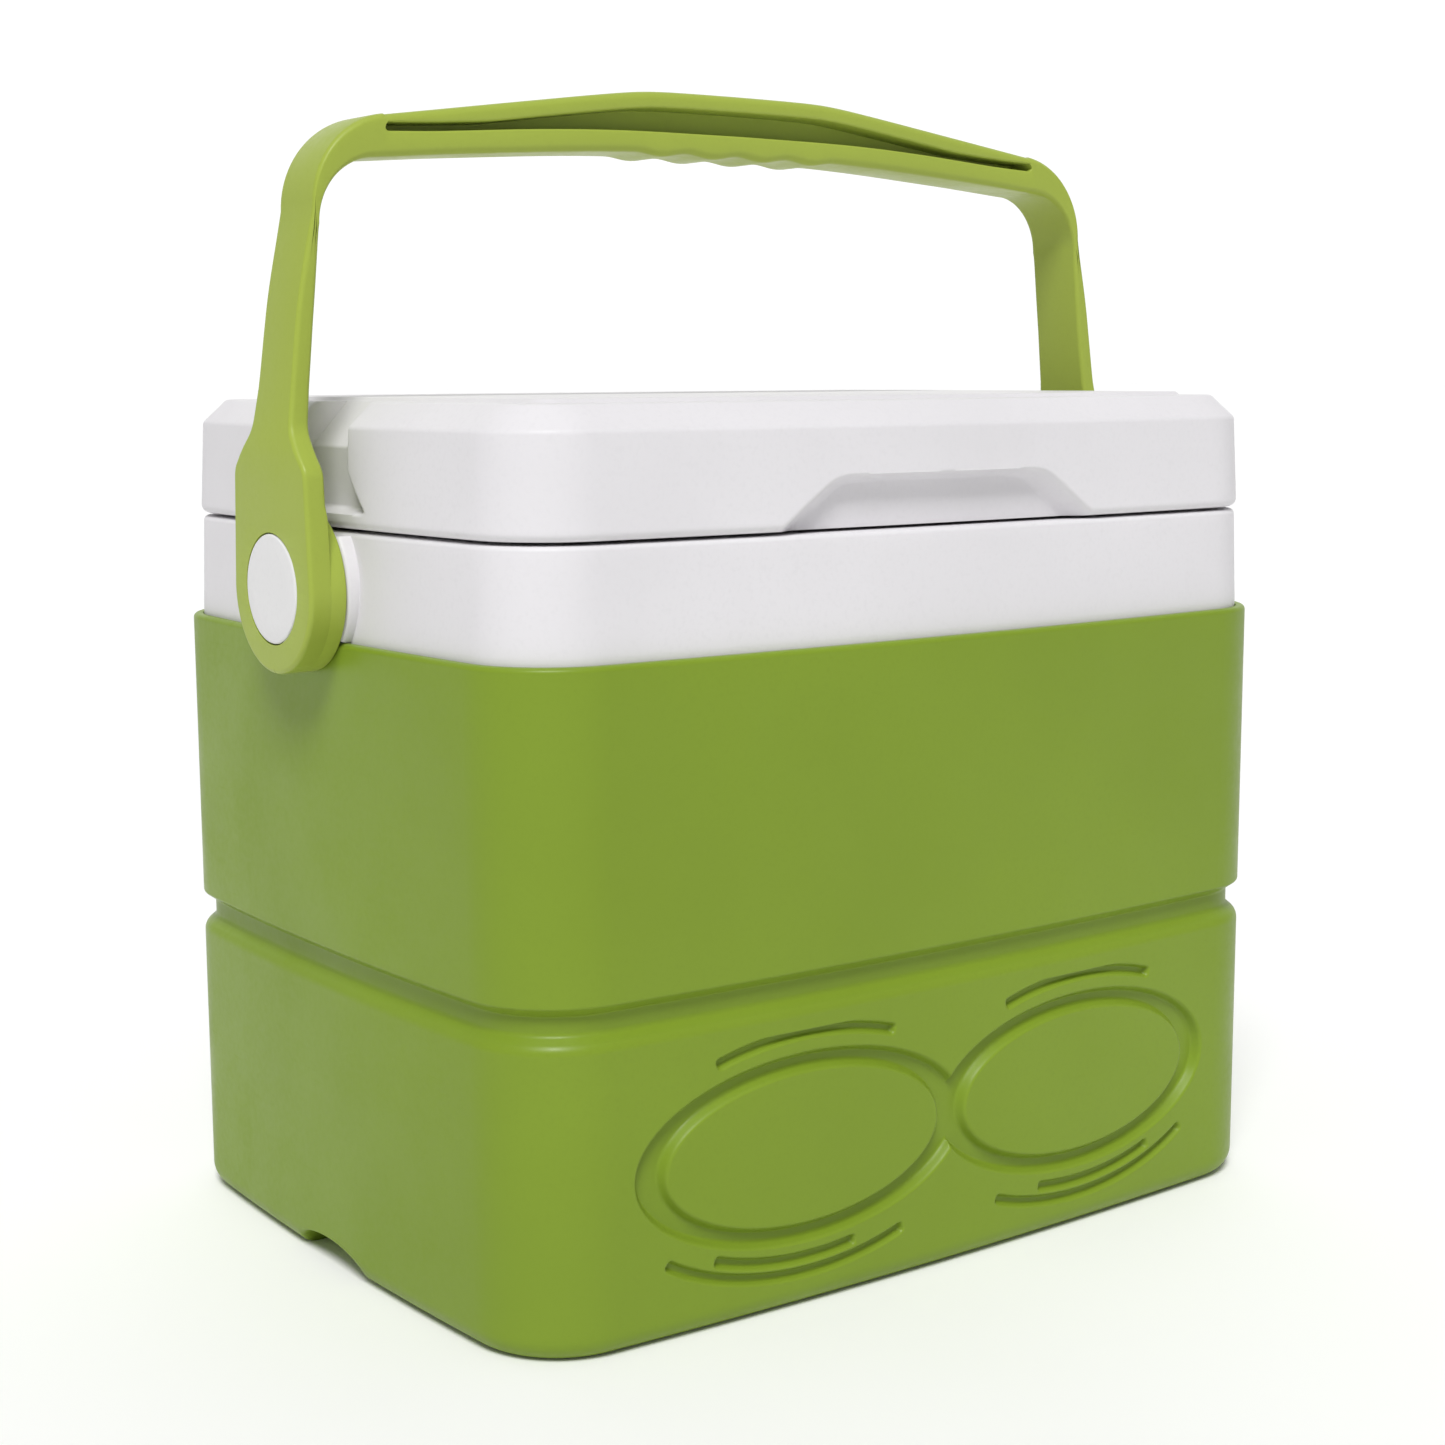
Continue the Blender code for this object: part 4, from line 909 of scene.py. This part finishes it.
def rigid_foam(name):
    """Cut polyurethane foam: open cells, slight yellowing."""
    n = Nodes(name)
    cells = n.add("ShaderNodeTexVoronoi", [("Vector", n.place), ("Scale", 900.0)]).outputs["Distance"]
    tone = n.mix(n.spread(n.noise(30.0, 4.0), 0.0, 1.0), (0.80, 0.70, 0.46, 1.0), (0.72, 0.60, 0.36, 1.0))
    shade = n.mix(n.spread(cells, 0.0, 0.5, 0.1, 0.6), tone, (0.45, 0.36, 0.20, 1.0))
    rough = n.spread(cells, 0.82, 0.95, 0.0, 0.6)
    n.plug(Base_Color=shade, Roughness=rough, Normal=n.bump(cells, 0.6, 0.3))
    return n.material


def plated_steel(name):
    """Bright zinc plating with a faint crystalline pattern and dull handling marks."""
    n = Nodes(name)
    spangle = n.add("ShaderNodeTexVoronoi", [("Vector", n.place), ("Scale", 700.0)]).outputs["Distance"]
    tone = n.mix(n.spread(spangle, 0.0, 1.0, 0.0, 0.7), (0.62, 0.62, 0.63, 1.0), (0.50, 0.51, 0.54, 1.0))
    dull = n.spread(n.noise(180.0, 5.0), 0.22, 0.42)
    n.plug(Base_Color=tone, Roughness=dull, Metallic=1.0, Normal=n.bump(n.noise(2500.0, 2.0), 0.3, 0.01))
    return n.material


def soft_rubber(name):
    """Dark matt seal with a dusty bloom."""
    n = Nodes(name)
    bloom = n.spread(n.noise(90.0, 5.0), 0.0, 0.5, 0.5, 0.75)
    tone = n.mix(bloom, (0.022, 0.022, 0.024, 1.0), (0.07, 0.07, 0.072, 1.0))
    rough = n.spread(n.noise(300.0, 3.0), 0.55, 0.75)
    n.plug(Base_Color=tone, Roughness=rough, Normal=n.bump(n.noise(1800.0, 2.0), 0.4, 0.03))
    return n.material


def paint(obj, material):
    obj.data.materials.clear()
    obj.data.materials.append(material)


BODY_GREEN = (0.195, 0.290, 0.022, 1.0)
HANDLE_GREEN = (0.335, 0.415, 0.062, 1.0)
COOL_WHITE = (0.72, 0.705, 0.725, 1.0)
CAP_WHITE = (0.74, 0.735, 0.735, 1.0)

body_plastic = moulded_plastic("body_green_plastic", BODY_GREEN, 0.38)
handle_plastic = moulded_plastic("handle_green_plastic", HANDLE_GREEN, 0.37)
# The whites get a weaker painted highlight on their edges.
white_plastic = moulded_plastic("white_plastic", COOL_WHITE, 0.42, highlight_tint=1.05)
cap_plastic = moulded_plastic("cap_white_plastic", CAP_WHITE, 0.36, highlight_tint=1.05)
foam = rigid_foam("rigid_foam_cut")
steel = plated_steel("zinc_plated_steel")
rubber = soft_rubber("seal_rubber")


# ---------------------------------------------------------------- pieces


def stand_in(obj, body, material, slot, *nodes):
    """Put a new piece in the place of its CAD nodes."""
    paint(obj, material)
    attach(obj, body)
    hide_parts(*nodes)


stand_in(outer_body(), "chest", body_plastic, "body_green", "outer_body")
stand_in(collar(), "chest", white_plastic, "white_plastic", "collar")
stand_in(tub(), "chest", white_plastic, "white_plastic", "inner_liner")
stand_in(lid(), "lid", white_plastic, "white_plastic", "lid_shell")
stand_in(lid_plug(), "lid", white_plastic, "white_plastic", "lid_liner")
stand_in(lid_seal(), "lid", rubber, "soft_rubber", "lid_gasket")
stand_in(handle(), "handle", handle_plastic, "handle_green", "handle_frame")
for side, end in ((-1, "left"), (1, "right")):
    stand_in(pivot_cap(side), "handle", cap_plastic, "white_plastic", f"pivot_cap_{end}")
    x = side * HINGE_X
    base = hinge_plate(f"hinge_plate_base_{end}", x, HINGE_Z - LEAF_FAR, HINGE_Z - LEAF_NEAR, BASE_KNUCKLES)
    stand_in(base, "chest", white_plastic, "white_plastic", f"hinge_base_{end}")
    leaf = hinge_plate(f"hinge_plate_lid_{end}", x, HINGE_Z + LEAF_NEAR, HINGE_Z + LEAF_FAR, LID_KNUCKLES)
    stand_in(leaf, "lid", white_plastic, "white_plastic", f"hinge_leaf_{end}")
for kind, body, z in (("base", "chest", COLLAR_SCREW_Z), ("leaf", "lid", LID_SCREW_Z)):
    places = [side * HINGE_X + offset for side in (-1, 1) for offset in (-SCREW_OFFSET, SCREW_OFFSET)]
    for number, x in enumerate(places, start=1):
        head = screw_head(f"screw_head_{kind}_{number}", x, z)
        stand_in(head, body, steel, "plated_steel", f"hinge_{kind}_screw_{number}")

KEPT = {"body_foam": foam, "lid_foam": foam}
for end in ("left", "right"):
    KEPT[f"pivot_stud_{end}"] = white_plastic
    KEPT[f"pivot_bush_{end}"] = white_plastic
    KEPT[f"pivot_washer_{end}"] = steel
    KEPT[f"pivot_screw_{end}"] = steel
    KEPT[f"hinge_pin_{end}"] = steel
for node, material in KEPT.items():
    paint(frame["nodes"][node], material)


# ---------------------------------------------------------------- floor, light and camera


BACKDROP = (0.595, 0.804, 0.0)  # horizontal direction of the bright backdrop, behind the object
BACKDROP_FADE = (0.4, 0.85)  # cosine of the angle to it at which its light begins and is full
ROOM_STRENGTH, BACKDROP_STRENGTH = 0.34, 1.05
KEY_DIRECTION = (0.45, 0.55, -1.0)  # from above the front left
KEY_STRENGTH, KEY_ANGLE = 2.6, 22.0
FLOOR_HALF = 40000.0

CAMERA_PLACE = (-0.492781, -0.665614, 0.285090)  # metres
CAMERA_AHEAD = (0.588375, 0.795285, -0.146068)
CAMERA_LENS, CAMERA_ROLL = 59.017, -0.269  # millimetres on a 36 mm sensor, and degrees


def studio_floor():
    """Plain pale floor that reaches to the horizon."""
    half = FLOOR_HALF
    corners = [(-half, -half, 0), (half, -half, 0), (half, half, 0), (-half, half, 0)]
    floor = make_mesh("studio_floor", corners, [(0, 1, 2, 3)])
    n = Nodes("pale_floor")
    tone = n.mix(n.spread(n.noise(2.0, 4.0), 0.0, 1.0), (0.93, 0.93, 0.93, 1.0), (0.95, 0.95, 0.95, 1.0))
    n.plug(Base_Color=tone, Roughness=n.spread(n.noise(6.0, 4.0), 0.75, 0.9))
    paint(floor, n.material)


def studio_light():
    """Dim white room with a bright backdrop, all white to the camera, and one broad key light."""
    world = bpy.data.worlds.new("studio")
    world.use_nodes = True
    tree = world.node_tree
    background = tree.nodes["Background"]
    background.inputs["Color"].default_value = (1.0, 1.0, 1.0, 1.0)
    direction = tree.nodes.new("ShaderNodeTexCoord")
    across = tree.nodes.new("ShaderNodeVectorMath")
    across.operation = "DOT_PRODUCT"
    across.inputs[1].default_value = BACKDROP
    fade = tree.nodes.new("ShaderNodeMapRange")
    fade.inputs["From Min"].default_value, fade.inputs["From Max"].default_value = BACKDROP_FADE
    fade.inputs["To Min"].default_value = ROOM_STRENGTH
    fade.inputs["To Max"].default_value = BACKDROP_STRENGTH
    tree.links.new(direction.outputs["Generated"], across.inputs[0])
    tree.links.new(across.outputs["Value"], fade.inputs["Value"])
    seen = tree.nodes.new("ShaderNodeLightPath")
    brighter = tree.nodes.new("ShaderNodeMath")
    brighter.operation = "MAXIMUM"
    tree.links.new(fade.outputs["Result"], brighter.inputs[0])
    tree.links.new(seen.outputs["Is Camera Ray"], brighter.inputs[1])
    tree.links.new(brighter.outputs[0], background.inputs["Strength"])
    bpy.context.scene.world = world
    lamp = bpy.data.lights.new("key", "SUN")
    lamp.energy, lamp.angle = KEY_STRENGTH, math.radians(KEY_ANGLE)
    key = bpy.data.objects.new("key", lamp)
    bpy.context.scene.collection.objects.link(key)
    key.rotation_euler = Vector(KEY_DIRECTION).to_track_quat("-Z", "Y").to_euler()


def camera():
    """Camera without shift, with a roll of a fraction of a degree."""
    data = bpy.data.cameras.new("camera")
    data.sensor_width, data.lens = 36.0, CAMERA_LENS
    view = bpy.data.objects.new("camera", data)
    bpy.context.scene.collection.objects.link(view)
    ahead = Vector(CAMERA_AHEAD).normalized()
    level = ahead.cross(Vector((0, 0, 1))).normalized()
    up = level.cross(ahead)
    roll = math.radians(CAMERA_ROLL)
    right = level * math.cos(roll) + up * math.sin(roll)
    up = up * math.cos(roll) - level * math.sin(roll)
    turn = Matrix((right, up, -ahead)).transposed().to_4x4()
    view.matrix_world = Matrix.Translation(CAMERA_PLACE) @ turn
    bpy.context.scene.camera = view


studio_floor()
studio_light()
camera()
bpy.context.scene.view_settings.view_transform = "Standard"
